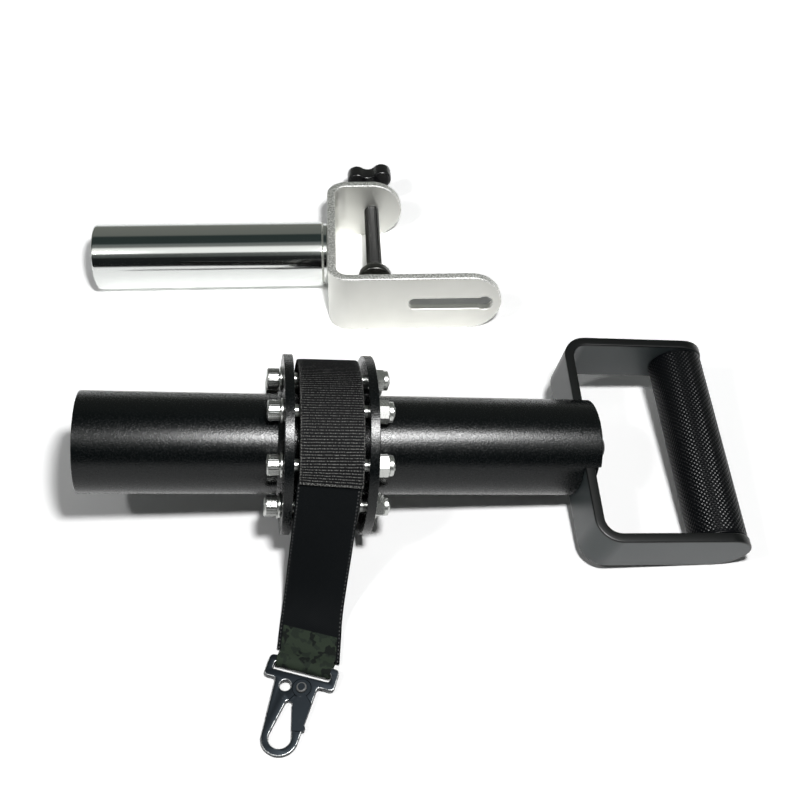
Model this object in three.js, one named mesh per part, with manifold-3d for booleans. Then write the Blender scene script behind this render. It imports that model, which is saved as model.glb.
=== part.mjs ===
// Wrist roller set: a drum roller with a D-handle, a pull strap with a snap hook, and the clamp-on
// spindle that the roller turns on. Millimetres, +Z up, both pieces lying on a bench.
// The roller rests on the rim of its right flange and on one handle arm, so its axis dips.
import * as THREE from 'three';
import { mergeVertices } from 'three/addons/utils/BufferGeometryUtils.js';
import Module from 'manifold-3d';

const wasm = await Module();
wasm.setup();

// Fits and facets shared by all pieces
const seat = 0.3; // gap between pieces that touch
const overrun = 6; // how far a cut runs past what it cuts
const rimSides = 64;
const largeSides = 48;
const smallSides = 24;
const boltSides = 16;
const bendSteps = 4;
const endSteps = 10;
const ballSteps = 7;

// Roller tube, measured from the middle of the drum
const tubeDiameter = 50;
const tubeWall = 3;
const tubeToMouth = 119;
const tubeToHandle = 137;
const tubeChamfer = 0.8;

// Drum flanges, with a weld fillet against the tube on the outer sides
const flangeReach = 20; // from the tube to the rim
const flangeThickness = 4;
const flangeChamfer = 0.6;
const weldLeg = 2.5;

// Through bolts: M6 socket heads with washers on the left, lock nuts on the right
const boltCount = 8;
const boltFromTube = 8.5; // from the tube to a bolt's axis
const boltPhase = 12; // degrees from straight back towards up
const boltDiameter = 6;
const boltHeadDiameter = 10;
const boltHeadHeight = 6;
const boltKey = 5;
const boltKeyDepth = 3;
const boltPastNut = 2.6;
const washerDiameter = 12;
const washerThickness = 1.2;
const nutFlats = 10;
const nutHexHeight = 5;
const nutCollarHeight = 1.5;
const nutCollarDiameter = 9;

// Plain bushings that run on the spindle
const bushingLength = 25;
const bushingWall = 0.9;
const runningGap = 0.3; // between the spindle and a bushing
const bushingInset = 2;
const innerBushingFromDrum = -4;

// D-handle: one bent flat bar, let into a slot across the tube's end
const handleSpan = 120;
const handleArm = 84;
const handleWidth = 30;
const handleThickness = 5;
const handleBend = 8;
const handleTurn = 11.4; // degrees about the tube's axis, near arm down
const endLip = 3.2; // how far the tube runs on past the bar
const gripDiameter = 29;
const gripChamfer = 0.8;

// Handle fixing: plug in the tube, disc over the bar, washer and button-head screw
const plugLength = 25;
const handleScrewDiameter = 10;
const handleScrewReach = 20; // thread inside the plug
const handleHeadDiameter = 17.8;
const handleHeadHeight = 6;
const handleKey = 6;
const handleKeyDepth = 3;
const handleWasherDiameter = 21;
const handleWasherThickness = 2;

// Webbing on the drum and the strap sewn to it
const strapWidth = 30;
const strapSideGap = 3; // to each flange
const strapThickness = 1.5;
const layerGap = 0.45;
const anchorBolt = -33; // degrees, the bolt that the inner end is looped round
const anchorWrap = 285; // degrees of the loop round that bolt
const fullTurns = 2; // before the last, part turn
const windingEnd = 155.5; // degrees, where the ribbed webbing ends over the strap
const lapStart = 125; // degrees, where the strap starts under the webbing
const lapRise = 25; // degrees over which the webbing climbs on to the strap
const strapLeaves = 158; // degrees, where the strap leaves the drum
const windingSteps = 48; // per turn

// Where the strap ends: the hook's bar, from the drum's middle
const barBeside = -15.1;
const barFromRim = 52.3;
const barAngle = -19.8; // degrees of the bar in plan
const strapHeading = -6.5; // degrees in plan, how the strap runs into the loop, slanted to the bar
const strapDrift = 20; // degrees in plan, how the strap heads aside off the drum
const strapLift = 0.2; // underside above the bench
const strapStand = 28; // how far the strap stands off straight from the drum
const strapEase = 22; // how softly it turns flat at the loop
const strapPastLoop = 1.5;
const strapTip = 5.5; // from the bar to the strap's cut end

// Camouflage webbing looped round the hook's bar and sewn to both sides of the strap
const loopInset = 1.8; // each side of the strap
const loopThickness = 1.2;
const loopPlay = 0.23; // round the bar's corners
const loopLap = 17.5;
const loopShoulder = 8;

// Snap hook, stamped plate: across the strap, and along it from the bar
const hookThickness = 2.4;
const hookBarWidth = 3;
const slotPlay = 0.55; // each side of the loop
const slotDepth = 4;
const slotCorner = 1.2;
const frameWall = 3.15;
const frameFoot = 3.6;
const frameCorner = 5;
const neckLeft = 11.2;
const neckRight = 9.4;
const noseFromBar = 35.4;
const noseWall = 3.2;
const eyeRadius = 5.2;
const eyeTopRadius = 1.7;
const eyeTopPastPivot = 8.6;
const eyeTopLeft = 1.1;
const toolHoleDiameter = 5.4;
const toolHoleLeft = 5.3;
const toolHolePastPivot = 0.6;

// Gate, rivet and gate spring
const pivotRight = 2.4;
const pivotFromBar = 11.2;
const pivotHeadRadius = 4.2;
const gateRoot = 8.3; // from the pivot, where the gate gets its full thickness
const gateEndBeforeNose = 4.1;
const heelSweep = 2.5; // beyond the root, room for the gate's inner corner as it opens
const gateLayerShare = 0.44; // of the plate, for the gate's tail over it
const gateInnerAngle = -11; // degrees from the pivot, the gate's left side
const gateOuterAngle = 46; // degrees from the pivot, the gate's right side
const heelAngle = 13; // degrees that the inner corner's room takes
const gateOpens = 18; // degrees
const gateFree = 2; // degrees of play in the pocket
const tabLength = 3.5;
const tabProud = 1.1;
const rivetDiameter = 2.6;
const rivetHeadDiameter = 5.2;
const rivetHeadHeight = 0.7;
const rivetTailDiameter = 4.6;
const rivetTailHeight = 0.5;
const springWire = 0.45;
const springRadius = 2.8;
const springTurn = 300; // degrees
const grooveFloor = 0.3;

// Clamp bracket: one bent plate lying on its edges, set back from the drum's middle
const clampBeside = 9;
const clampBehind = 182.6;
const clampAngle = -2.4; // degrees in plan
const clampSpan = 100;
const clampThickness = 5;
const clampBend = 8;
const nearArm = 107;
const farArm = 50;
const armSlotWidth = 8.2;
const armSlotLength = 52.3;
const armSlotEndWall = 5.5;
const armSlotKeyDiameter = 10.3;

// Spindle, welded to the bracket's base
const spindleWall = 3.5;
const spindleLength = 146.5;
const spindleChamfer = 1.2;
const neckDepth = 1.2;
const neckLength = 2.2;
const capLength = 12;

// Clamp screw, three-lobed knob and swivel pad
const screwDiameter = 10;
const ballDiameter = 8;
const neckShare = 0.8; // of the ball
const padToNearArm = 17; // how far the clamp stands open
const padRim = 6;
const padFoot = 2;
const padWell = 2.5;
const padWall = 3.4;
const padGroove = 1;
const padBossWall = 2.3;
const padSocketFloor = 1.7;
const padSocketGrip = 2.2; // from the ball's middle to the mouth
const neckPastPad = 3;
const knobBehindArm = 19; // from the far arm's outer face
const knobDepth = 11;
const knobRadius = 16.5;
const knobLobeRadius = 6.5;
const knobValleyRadius = 7;
const knobHubDiameter = 15;
const knobHubHeight = 3;
const knobTurn = -6; // degrees
const knobBevel = 1.5;
const knobGrip = 10; // how deep the screw sits in the knob

const turn = THREE.MathUtils.degToRad;

// A closed geometry as a solid, with its faces turned outwards
function solid(geometry) {
  const bare = geometry.index ? geometry.toNonIndexed() : geometry.clone();
  for (const name of Object.keys(bare.attributes)) {
    if (name !== 'position') bare.deleteAttribute(name);
  }
  const merged = mergeVertices(bare);
  const points = merged.attributes.position.array;
  const corners = [];
  const a = new THREE.Vector3();
  const b = new THREE.Vector3();
  const c = new THREE.Vector3();
  let volume = 0;
  for (let i = 0; i < merged.index.count; i += 3) {
    const [p, q, r] = [0, 1, 2].map((k) => merged.index.getX(i + k));
    if (p === q || q === r || r === p) continue;
    corners.push(p, q, r);
    volume += a.fromArray(points, 3 * p).dot(b.fromArray(points, 3 * q).cross(c.fromArray(points, 3 * r)));
  }
  if (volume < 0) corners.reverse();
  const mesh = new wasm.Mesh({ numProp: 3, vertProperties: points, triVerts: Uint32Array.from(corners) });
  return new wasm.Manifold(mesh);
}

function surface(body) {
  const mesh = body.getMesh();
  const geometry = new THREE.BufferGeometry();
  geometry.setAttribute('position', new THREE.BufferAttribute(mesh.vertProperties, 3));
  geometry.setIndex(new THREE.BufferAttribute(mesh.triVerts, 1));
  geometry.computeVertexNormals();
  return geometry;
}

function joined(...parts) {
  return surface(parts.map(solid).reduce((whole, part) => whole.add(part)));
}

function cut(geometry, ...tools) {
  return surface(tools.map(solid).reduce((whole, tool) => whole.subtract(tool), solid(geometry)));
}

// A profile of [along, radius] pairs turned about the X axis
function turned(profile, sides = largeSides) {
  const points = profile.map(([along, radius]) => new THREE.Vector2(radius, along));
  const opensOnAxis = profile[0][1] === 0 && profile.at(-1)[1] === 0;
  if (!opensOnAxis) points.push(points[0].clone());
  return new THREE.LatheGeometry(points, sides).rotateZ(-Math.PI / 2);
}

// A round bar along X between two places
function bar(from, to, radius, sides = smallSides) {
  return turned([[from, 0], [from, radius], [to, radius], [to, 0]], sides);
}

// A plain ring or tube along X
function ring(from, to, inner, outer, sides = largeSides) {
  return turned([[from, inner], [from, outer], [to, outer], [to, inner]], sides);
}

// The same with its outer edges broken
function sleeve(from, to, inner, outer, chamfer, sides = largeSides) {
  return turned([
    [from, inner],
    [from, outer - chamfer],
    [from + chamfer, outer],
    [to - chamfer, outer],
    [to, outer - chamfer],
    [to, inner],
  ], sides);
}

// A flat outline given thickness, from z = low to z = high
function plate(shape, low, high, steps = bendSteps) {
  const options = { depth: high - low, bevelEnabled: false, curveSegments: steps };
  return new THREE.ExtrudeGeometry(shape, options).translate(0, 0, low);
}

function box(low, high) {
  const size = high.map((value, i) => value - low[i]);
  const middle = high.map((value, i) => (value + low[i]) / 2);
  return new THREE.BoxGeometry(...size).translate(...middle);
}

function polygon(points) {
  return new THREE.Shape(points.map(([x, y]) => new THREE.Vector2(x, y)));
}

function disc(x, y, radius) {
  return new THREE.Shape().absarc(x, y, radius, 0, 2 * Math.PI, false);
}

function roundedRectangle(left, right, low, high, corner) {
  const shape = new THREE.Shape();
  shape.moveTo(left + corner, low);
  shape.absarc(right - corner, low + corner, corner, -Math.PI / 2, 0, false);
  shape.absarc(right - corner, high - corner, corner, 0, Math.PI / 2, false);
  shape.absarc(left + corner, high - corner, corner, Math.PI / 2, Math.PI, false);
  shape.absarc(left + corner, low + corner, corner, Math.PI, 1.5 * Math.PI, false);
  return shape;
}

// A flat bar bent to a U: base along Y at x = 0, arms along +X, width along Z
function bentBar(span, width, thickness, bend, farReach, nearReach) {
  const half = span / 2;
  const outer = bend + thickness;
  const shape = new THREE.Shape();
  shape.moveTo(farReach, half);
  shape.lineTo(outer, half);
  shape.absarc(outer, half - outer, outer, Math.PI / 2, Math.PI, false);
  shape.absarc(outer, outer - half, outer, Math.PI, 1.5 * Math.PI, false);
  shape.lineTo(nearReach, -half);
  shape.lineTo(nearReach, thickness - half);
  shape.absarc(outer, outer - half, bend, 1.5 * Math.PI, Math.PI, true);
  shape.absarc(outer, half - outer, bend, Math.PI, Math.PI / 2, true);
  shape.lineTo(farReach, half - thickness);
  const blank = plate(shape, -width / 2, width / 2);
  return cut(blank, endCutter(farReach, half, width), endCutter(nearReach, -half, width));
}

// What is cut from an arm's end to leave it fully round
function endCutter(reach, side, width) {
  const radius = width / 2;
  const shape = new THREE.Shape();
  shape.moveTo(reach - radius, -radius - overrun);
  shape.lineTo(reach + overrun, -radius - overrun);
  shape.lineTo(reach + overrun, radius + overrun);
  shape.lineTo(reach - radius, radius + overrun);
  shape.absarc(reach - radius, 0, radius, Math.PI / 2, -Math.PI / 2, true);
  return plate(shape, -2 * overrun, 2 * overrun, endSteps).rotateX(Math.PI / 2).translate(0, side, 0);
}

// A hole through a plate that faces Y
function crossHole(x, z, radius, side) {
  return bar(-2 * overrun, 2 * overrun, radius).rotateZ(Math.PI / 2).translate(x, side, z);
}

function hexagon(flats) {
  const radius = flats / Math.sqrt(3);
  const corners = Array.from({ length: 6 }, (_, k) => (k * Math.PI) / 3);
  return polygon(corners.map((a) => [radius * Math.cos(a), radius * Math.sin(a)]));
}

// A hexagonal prism along X
function hexBar(from, to, flats) {
  return plate(hexagon(flats), from, to).rotateY(Math.PI / 2);
}

// A flat band carried along a path of { point, across, outward }
function band(path, width, thickness) {
  const rings = path.map(({ point, across, outward }) => {
    const corners = [[-1, -1], [1, -1], [1, 1], [-1, 1]];
    return corners.map(([w, t]) => point.clone()
      .addScaledVector(across, (w * width) / 2)
      .addScaledVector(outward, (t * thickness) / 2));
  });
  const positions = rings.flat().flatMap((corner) => corner.toArray());
  const index = [0, 1, 2, 0, 2, 3];
  for (let i = 0; i + 1 < rings.length; i += 1) {
    for (let k = 0; k < 4; k += 1) {
      const [p, q] = [4 * i + k, 4 * i + ((k + 1) % 4)];
      index.push(p, p + 4, q + 4, p, q + 4, q);
    }
  }
  const last = 4 * (rings.length - 1);
  index.push(last, last + 2, last + 1, last, last + 3, last + 2);
  const geometry = new THREE.BufferGeometry();
  geometry.setAttribute('position', new THREE.Float32BufferAttribute(positions, 3));
  geometry.setIndex(index);
  return surface(solid(geometry));
}

// Frames for a band: its width may slant to the path, and keeps its true size across it
function framed(points, acrossAt) {
  return points.map((point, i) => {
    const before = points[Math.max(i - 1, 0)];
    const after = points[Math.min(i + 1, points.length - 1)];
    const along = after.clone().sub(before).normalize();
    const slanted = acrossAt(i / (points.length - 1)).normalize();
    const outward = slanted.clone().cross(along);
    const across = slanted.divideScalar(outward.length());
    return { point, across, outward: outward.normalize() };
  });
}

function eased(share) {
  const s = Math.min(Math.max(share, 0), 1);
  return s * s * (3 - 2 * s);
}

// Materials
const finish = (color, roughness, metalness) => new THREE.MeshStandardMaterial({ color, roughness, metalness });
const blackCoat = finish(0x131416, 0.45, 0.2);
const brightSteel = finish(0xb9bab6, 0.28, 1);
const satinPlate = finish(0xcfcfc4, 0.42, 0.9);
const polished = finish(0xc9ccca, 0.12, 1);
const blackWebbing = finish(0x101012, 0.85, 0);
const camoWebbing = finish(0x3a4232, 0.9, 0);
const gunmetal = finish(0x23282b, 0.38, 0.8);
const blackPlastic = finish(0x0c0c0d, 0.25, 0);
const nylon = finish(0xd8d4c4, 0.55, 0);

function add(group, name, geometry, material) {
  const mesh = new THREE.Mesh(geometry, material);
  mesh.name = name;
  group.add(mesh);
  return mesh;
}

// How the roller lies: its right flange and the lower handle arm both touch the bench
const tubeRadius = tubeDiameter / 2;
const tubeBoreRadius = tubeRadius - tubeWall;
const flangeRadius = tubeRadius + flangeReach;
const flangeFace = strapWidth / 2 + strapSideGap + flangeThickness;
const boltCircleRadius = tubeRadius + boltFromTube;
const bushingRadius = tubeBoreRadius - seat;
const bushingBoreRadius = bushingRadius - bushingWall;
const spindleRadius = bushingBoreRadius - runningGap;
const clampWidth = 2 * spindleRadius;
const barOuterFace = tubeToHandle - endLip - handleThickness;
const barInnerFace = tubeToHandle - endLip;
const gripFromBar = handleArm - handleWidth / 2;
const armDrop = (handleSpan / 2) * Math.sin(turn(handleTurn)) + (handleWidth / 2) * Math.cos(turn(handleTurn));
const rollerTilt = Math.atan2(flangeRadius - armDrop, barOuterFace + gripFromBar - flangeFace);
const drumHeight = flangeRadius * Math.cos(rollerTilt) + flangeFace * Math.sin(rollerTilt);

// Where the strap ends, and the hook's places along it
const loopWidth = strapWidth - 2 * loopInset;
const loopInnerRadius = Math.hypot(hookBarWidth, hookThickness) / 2 + loopPlay;
const strapLaid = loopLap + strapPastLoop;
const barInFront = -flangeRadius - barFromRim;
const hookBarHeight = strapLift + loopThickness + loopInnerRadius;
const slotTop = hookBarWidth / 2;
const slotFoot = slotTop + slotDepth;
const slotLength = loopWidth + 2 * slotPlay;
const noseRadius = eyeRadius + noseWall;
const hookReach = noseFromBar + noseRadius;
const eyeTopFromBar = pivotFromBar + eyeTopPastPivot;
const toolHoleFromBar = pivotFromBar + toolHolePastPivot;
const gateEndFromBar = noseFromBar - gateEndBeforeNose;
const gateReach = gateEndFromBar - pivotFromBar;
const gateLayer = hookThickness * gateLayerShare;

const wristRoller = new THREE.Group();
const roller = new THREE.Group();
roller.position.z = drumHeight;
roller.rotation.y = rollerTilt;
wristRoller.add(roller);

// Handle frame: X away from the bar's outer face, Y across the arms, Z across the bar
const handle = new THREE.Group();
handle.position.x = barOuterFace;
handle.rotation.x = turn(handleTurn);
roller.add(handle);

addTube();
addFlanges();
addBolts();
addHandle();
addHandleFixing();
addDrumWebbing();
addStrap();
addHook();
addClamp();
addSpindle();
addScrew();

// The set stands centred on its own footprint
const bounds = new THREE.Box3().setFromObject(wristRoller, true);
const middle = bounds.getCenter(new THREE.Vector3());
wristRoller.position.set(-middle.x, -middle.y, -bounds.min.z);

function addTube() {
  const blank = sleeve(-tubeToMouth, tubeToHandle, tubeBoreRadius, tubeRadius, tubeChamfer);
  const halfSlot = handleWidth / 2 + seat;
  const slot = box(
    [barOuterFace - seat, -tubeRadius - overrun, -halfSlot],
    [tubeToHandle + overrun, tubeRadius + overrun, halfSlot],
  ).rotateX(turn(handleTurn));
  add(roller, 'main_tube', cut(blank, slot), blackCoat);
  const mouth = bushingInset - tubeToMouth;
  const starts = { outer_bushing: mouth, inner_bushing: innerBushingFromDrum };
  for (const [name, start] of Object.entries(starts)) {
    const bushing = ring(start, start + bushingLength, bushingBoreRadius, bushingRadius);
    add(roller, name, bushing, nylon);
  }
}

function boltAngle(i) {
  return turn(boltPhase + (360 / boltCount) * i);
}

function boltPlace(i) {
  return [0, boltCircleRadius * Math.cos(boltAngle(i)), boltCircleRadius * Math.sin(boltAngle(i))];
}

// A flange is turned with its weld fillet, then drilled for the through bolts
function addFlanges() {
  const bore = tubeRadius + seat;
  const disc = turned([
    [-flangeThickness, bore],
    [-flangeThickness, flangeRadius - flangeChamfer],
    [flangeChamfer - flangeThickness, flangeRadius],
    [-flangeChamfer, flangeRadius],
    [0, flangeRadius - flangeChamfer],
    [0, bore + weldLeg],
    [weldLeg, bore],
  ], rimSides);
  const hole = boltDiameter / 2 + seat;
  const holes = Array.from({ length: boltCount }, (_, i) => (
    bar(-flangeThickness - overrun, overrun, hole, smallSides / 2).translate(...boltPlace(i))
  ));
  const right = cut(disc, ...holes);
  add(roller, 'right_flange', right, blackCoat).position.x = flangeFace;
  const left = cut(disc.clone().rotateZ(Math.PI), ...holes.map((drill) => drill.clone().translate(
    flangeThickness,
    0,
    0,
  )));
  add(roller, 'left_flange', left, blackCoat).position.x = -flangeFace;
}

function addBolts() {
  const washerFace = flangeFace + seat + washerThickness;
  const headFace = washerFace + seat;
  const nutFace = flangeFace + seat;
  const nutEnd = nutFace + nutHexHeight + nutCollarHeight;
  const shankEnd = nutEnd + boltPastNut;
  const shank = boltDiameter / 2;
  const head = boltHeadDiameter / 2;
  const bolt = cut(
    turned([
      [-headFace - boltHeadHeight, 0],
      [-headFace - boltHeadHeight, head - flangeChamfer],
      [flangeChamfer - headFace - boltHeadHeight, head],
      [-headFace, head],
      [-headFace, shank],
      [shankEnd - flangeChamfer, shank],
      [shankEnd, shank - flangeChamfer],
      [shankEnd, 0],
    ], boltSides),
    hexBar(-headFace - boltHeadHeight - overrun, boltKeyDepth - headFace - boltHeadHeight, boltKey),
  );
  const hole = shank + seat;
  const washer = ring(-washerFace, -washerFace + washerThickness, hole, washerDiameter / 2, boltSides);
  const nut = cut(
    joined(
      hexBar(nutFace, nutFace + nutHexHeight, nutFlats),
      bar(nutFace, nutEnd, nutCollarDiameter / 2, boltSides),
    ),
    bar(nutFace - overrun, nutEnd + overrun, hole, boltSides),
  );
  for (let i = 0; i < boltCount; i += 1) {
    add(roller, `flange_bolt_${i + 1}`, bolt, brightSteel).position.set(...boltPlace(i));
    add(roller, `bolt_washer_${i + 1}`, washer, brightSteel).position.set(...boltPlace(i));
    add(roller, `lock_nut_${i + 1}`, nut, brightSteel).position.set(...boltPlace(i));
  }
}

function addHandle() {
  const blank = bentBar(handleSpan, handleWidth, handleThickness, handleBend, handleArm, handleArm);
  const screwHole = bar(-overrun, handleThickness + overrun, handleScrewDiameter / 2 + seat);
  add(handle, 'handle_bracket', cut(blank, screwHole), blackCoat);
  const reach = handleSpan / 2 - handleThickness - seat;
  const radius = gripDiameter / 2;
  const grip = turned([
    [-reach, 0],
    [-reach, radius - gripChamfer],
    [gripChamfer - reach, radius],
    [reach - gripChamfer, radius],
    [reach, radius - gripChamfer],
    [reach, 0],
  ]);
  add(handle, 'grip_bar', grip.rotateZ(Math.PI / 2).translate(gripFromBar, 0, 0), blackCoat);
}

function addHandleFixing() {
  const fit = tubeBoreRadius - seat;
  const hole = handleScrewDiameter / 2 + seat;
  const plugEnd = barOuterFace - seat;
  add(roller, 'end_plug', sleeve(plugEnd - plugLength, plugEnd, hole, fit, tubeChamfer), brightSteel);
  const discStart = barInnerFace + seat;
  add(roller, 'end_disc', ring(discStart, tubeToHandle, hole, fit), blackCoat);
  const washerStart = tubeToHandle + seat;
  const washerEnd = washerStart + handleWasherThickness;
  const washer = ring(washerStart, washerEnd, hole, handleWasherDiameter / 2, smallSides);
  add(roller, 'handle_washer', washer, blackCoat);
  const head = handleHeadDiameter / 2;
  const headStart = washerEnd + seat;
  const shank = handleScrewDiameter / 2;
  const dome = Array.from({ length: bendSteps + 1 }, (_, k) => {
    const angle = (k / bendSteps) * (Math.PI / 3);
    return [headStart + handleHeadHeight * Math.sin(angle) / Math.sin(Math.PI / 3), head * Math.cos(angle)];
  });
  const screw = cut(
    turned([
      [plugEnd - handleScrewReach, 0],
      [plugEnd - handleScrewReach, shank],
      [headStart, shank],
      ...dome,
      [headStart + handleHeadHeight, 0],
    ], smallSides),
    hexBar(headStart + handleHeadHeight - handleKeyDepth, headStart + handleHeadHeight + overrun, handleKey),
  );
  add(roller, 'handle_screw', screw, blackCoat);
}

// Radius of the webbing's centre line at an angle counted on from the anchor bolt
function windingRadius(angle) {
  const first = boltCircleRadius + boltDiameter / 2 + seat + strapThickness / 2;
  return first + (strapThickness + layerGap) * ((angle - anchorBolt) / 360 + fullTurns);
}

function onDrum(angle, radius) {
  return new THREE.Vector3(0, radius * Math.cos(turn(angle)), radius * Math.sin(turn(angle)));
}

// Ribbed webbing: a loop round one bolt, then an unbroken spiral that ends lapped over the strap
function addDrumWebbing() {
  const points = [];
  const boltCentre = onDrum(anchorBolt, boltCircleRadius);
  const loopRadius = boltDiameter / 2 + seat + strapThickness / 2;
  const step = 360 / windingSteps;
  const loopSteps = 2 * endSteps;
  for (let i = 0; i < loopSteps; i += 1) {
    const angle = anchorBolt - anchorWrap * (1 - i / loopSteps);
    points.push(onDrum(angle, loopRadius).add(boltCentre));
  }
  const wound = windingEnd - anchorBolt + 360 * fullTurns;
  const steps = Math.ceil(wound / step);
  for (let i = 0; i <= steps; i += 1) {
    const angle = anchorBolt - 360 * fullTurns + Math.min(i * step, wound);
    const climb = (strapThickness + layerGap) * eased((angle - lapStart + lapRise) / lapRise);
    points.push(onDrum(angle, windingRadius(angle) + climb));
  }
  const axis = new THREE.Vector3(1, 0, 0);
  add(roller, 'drum_webbing', band(framed(points, () => axis.clone()), strapWidth, strapThickness), blackWebbing);
  console.log(`drum webbing: least gap to itself ${leastGap(points, strapThickness).toFixed(2)} mm`);
}

// Least distance between turns of a path, less its thickness
function leastGap(points, thickness) {
  const lengths = [0];
  for (let i = 1; i < points.length; i += 1) {
    lengths.push(lengths[i - 1] + points[i].distanceTo(points[i - 1]));
  }
  const apart = 6 * thickness;
  const nearest = new THREE.Vector3();
  let least = Infinity;
  for (let i = 0; i < points.length; i += 1) {
    for (let j = i + 1; j + 1 < points.length; j += 1) {
      if (lengths[j] - lengths[i] < apart) continue;
      new THREE.Line3(points[j], points[j + 1]).closestPointToPoint(points[i], true, nearest);
      least = Math.min(least, nearest.distanceTo(points[i]));
    }
  }
  return least - thickness;
}

// A point so far back from the hook's bar, at a height: square to the bar as far as the hook's frame
// sweeps when it swings, then along the strap
function fromBar(back, height) {
  const square = Math.min(back, slotFoot);
  const slanted = back - square;
  return new THREE.Vector3(
    barBeside - square * Math.sin(turn(barAngle)) - slanted * Math.sin(turn(strapHeading)),
    barInFront + square * Math.cos(turn(barAngle)) + slanted * Math.cos(turn(strapHeading)),
    height,
  );
}

// Smooth strap: starts under the webbing, stands off the drum, eases down and lies flat in the loop
function addStrap() {
  roller.updateMatrix();
  const points = [];
  const drumSteps = Math.ceil(((strapLeaves - lapStart) * windingSteps) / 360);
  for (let i = 0; i <= drumSteps; i += 1) {
    const angle = lapStart + ((strapLeaves - lapStart) * i) / drumSteps;
    points.push(onDrum(angle, windingRadius(angle)).applyMatrix4(roller.matrix));
  }
  const onDrumCount = points.length;
  const leaving = points.at(-1).clone();
  const heading = leaving.clone().sub(points.at(-2)).normalize();
  heading.x = heading.y * Math.tan(turn(strapDrift));
  const sewn = strapLift + loopThickness + seat + strapThickness / 2;
  const fall = new THREE.CubicBezierCurve3(
    leaving,
    leaving.clone().addScaledVector(heading, strapStand),
    fromBar(strapLaid + strapEase, sewn),
    fromBar(strapLaid, sewn),
  );
  points.push(...fall.getPoints(2 * endSteps).slice(1));
  const laidSteps = endSteps;
  for (let i = 1; i <= laidSteps; i += 1) {
    points.push(fromBar(strapLaid + (strapTip - strapLaid) * (i / laidSteps), sewn));
  }
  const drumAxis = new THREE.Vector3(1, 0, 0).transformDirection(roller.matrix);
  const barAxis = new THREE.Vector3(Math.cos(turn(barAngle)), Math.sin(turn(barAngle)), 0);
  const fallStart = (onDrumCount - 1) / (points.length - 1);
  const fallShare = (2 * endSteps) / (points.length - 1);
  const across = (share) => drumAxis.clone().lerp(barAxis, eased((share - fallStart) / fallShare));
  add(wristRoller, 'pull_strap', band(framed(points, across), strapWidth, strapThickness), blackWebbing);

  // Camouflage loop: top leg, round the bar, bottom leg
  const radius = loopInnerRadius + loopThickness / 2;
  const topLeg = sewn + strapThickness / 2 + seat + loopThickness / 2;
  const loop = [fromBar(loopLap, topLeg)];
  for (let i = 0; i <= bendSteps; i += 1) {
    const share = i / bendSteps;
    loop.push(fromBar(loopShoulder * (1 - share), topLeg + (hookBarHeight + radius - topLeg) * eased(share)));
  }
  for (let i = 1; i <= endSteps; i += 1) {
    const angle = Math.PI / 2 - (Math.PI * i) / endSteps;
    loop.push(fromBar(-radius * Math.cos(angle), hookBarHeight + radius * Math.sin(angle)));
  }
  loop.push(fromBar(slotFoot, hookBarHeight - radius));
  loop.push(fromBar(loopLap, hookBarHeight - radius));
  add(wristRoller, 'camo_loop', band(framed(loop, () => barAxis.clone()), loopWidth, loopThickness), camoWebbing);
}

// Hook frame: X along the bar, -Y from the bar to the nose, Z out of the plate
function addHook() {
  const hook = new THREE.Group();
  hook.position.copy(fromBar(0, hookBarHeight));
  const droop = Math.asin((hookBarHeight - strapLift / 2 - hookThickness / 2) / hookReach);
  hook.rotation.set(droop, 0, turn(barAngle), 'ZYX');
  wristRoller.add(hook);
  const top = hookThickness / 2;
  const half = slotLength / 2;
  const pocketFloor = top - gateLayer - seat;

  // Plate with ears, shoulders and nose
  const foot = slotFoot + frameFoot;
  const frame = roundedRectangle(-half - frameWall, half + frameWall, -foot, slotTop, frameCorner);
  const tongue = new THREE.Shape();
  tongue.moveTo(-neckLeft, -slotFoot - frameFoot / 2);
  tongue.lineTo(-noseRadius, -noseFromBar);
  tongue.absarc(0, -noseFromBar, noseRadius, Math.PI, 2 * Math.PI, false);
  tongue.lineTo(neckRight, -slotFoot - frameFoot / 2);
  const blank = joined(plate(frame, -top, top), plate(tongue, -top, top, endSteps));
  const slot = roundedRectangle(-half, half, -slotFoot, -slotTop, slotCorner);
  const eye = eyeShape();
  const gateSpace = sectorShape(gateRoot - seat, gateReach + seat, gateInnerAngle, gateOuterAngle + gateFree);
  const heelRoom = sectorShape(
    gateRoot - seat,
    gateRoot + heelSweep,
    gateInnerAngle - heelAngle,
    gateInnerAngle + gateFree,
  );
  const pocket = sectorShape(0, gateRoot + seat, gateInnerAngle - gateOpens - gateFree, gateOuterAngle + gateFree);
  const pocketRound = disc(pivotRight, -pivotFromBar, pivotHeadRadius + seat);
  const grooveInner = springRadius - springWire - seat / 2;
  const grooveOuter = springRadius + springWire + seat / 2;
  const groove = disc(pivotRight, -pivotFromBar, grooveOuter);
  groove.holes.push(new THREE.Path().absarc(pivotRight, -pivotFromBar, grooveInner, 0, 2 * Math.PI, true));
  const body = cut(
    blank,
    plate(slot, -hookThickness, hookThickness),
    plate(eye, -hookThickness, hookThickness, endSteps),
    plate(disc(-toolHoleLeft, -toolHoleFromBar, toolHoleDiameter / 2), -hookThickness, hookThickness, endSteps),
    plate(gateSpace, -hookThickness, hookThickness, endSteps),
    plate(heelRoom, -hookThickness, hookThickness),
    plate(pocket, pocketFloor, hookThickness),
    plate(pocketRound, pocketFloor, hookThickness, endSteps),
    plate(disc(pivotRight, -pivotFromBar, rivetDiameter / 2 + seat), -hookThickness, hookThickness),
    plate(groove, grooveFloor - top, hookThickness, endSteps),
  );
  add(hook, 'hook_body', body, gunmetal);
  addGate(hook, eye);
}

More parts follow.
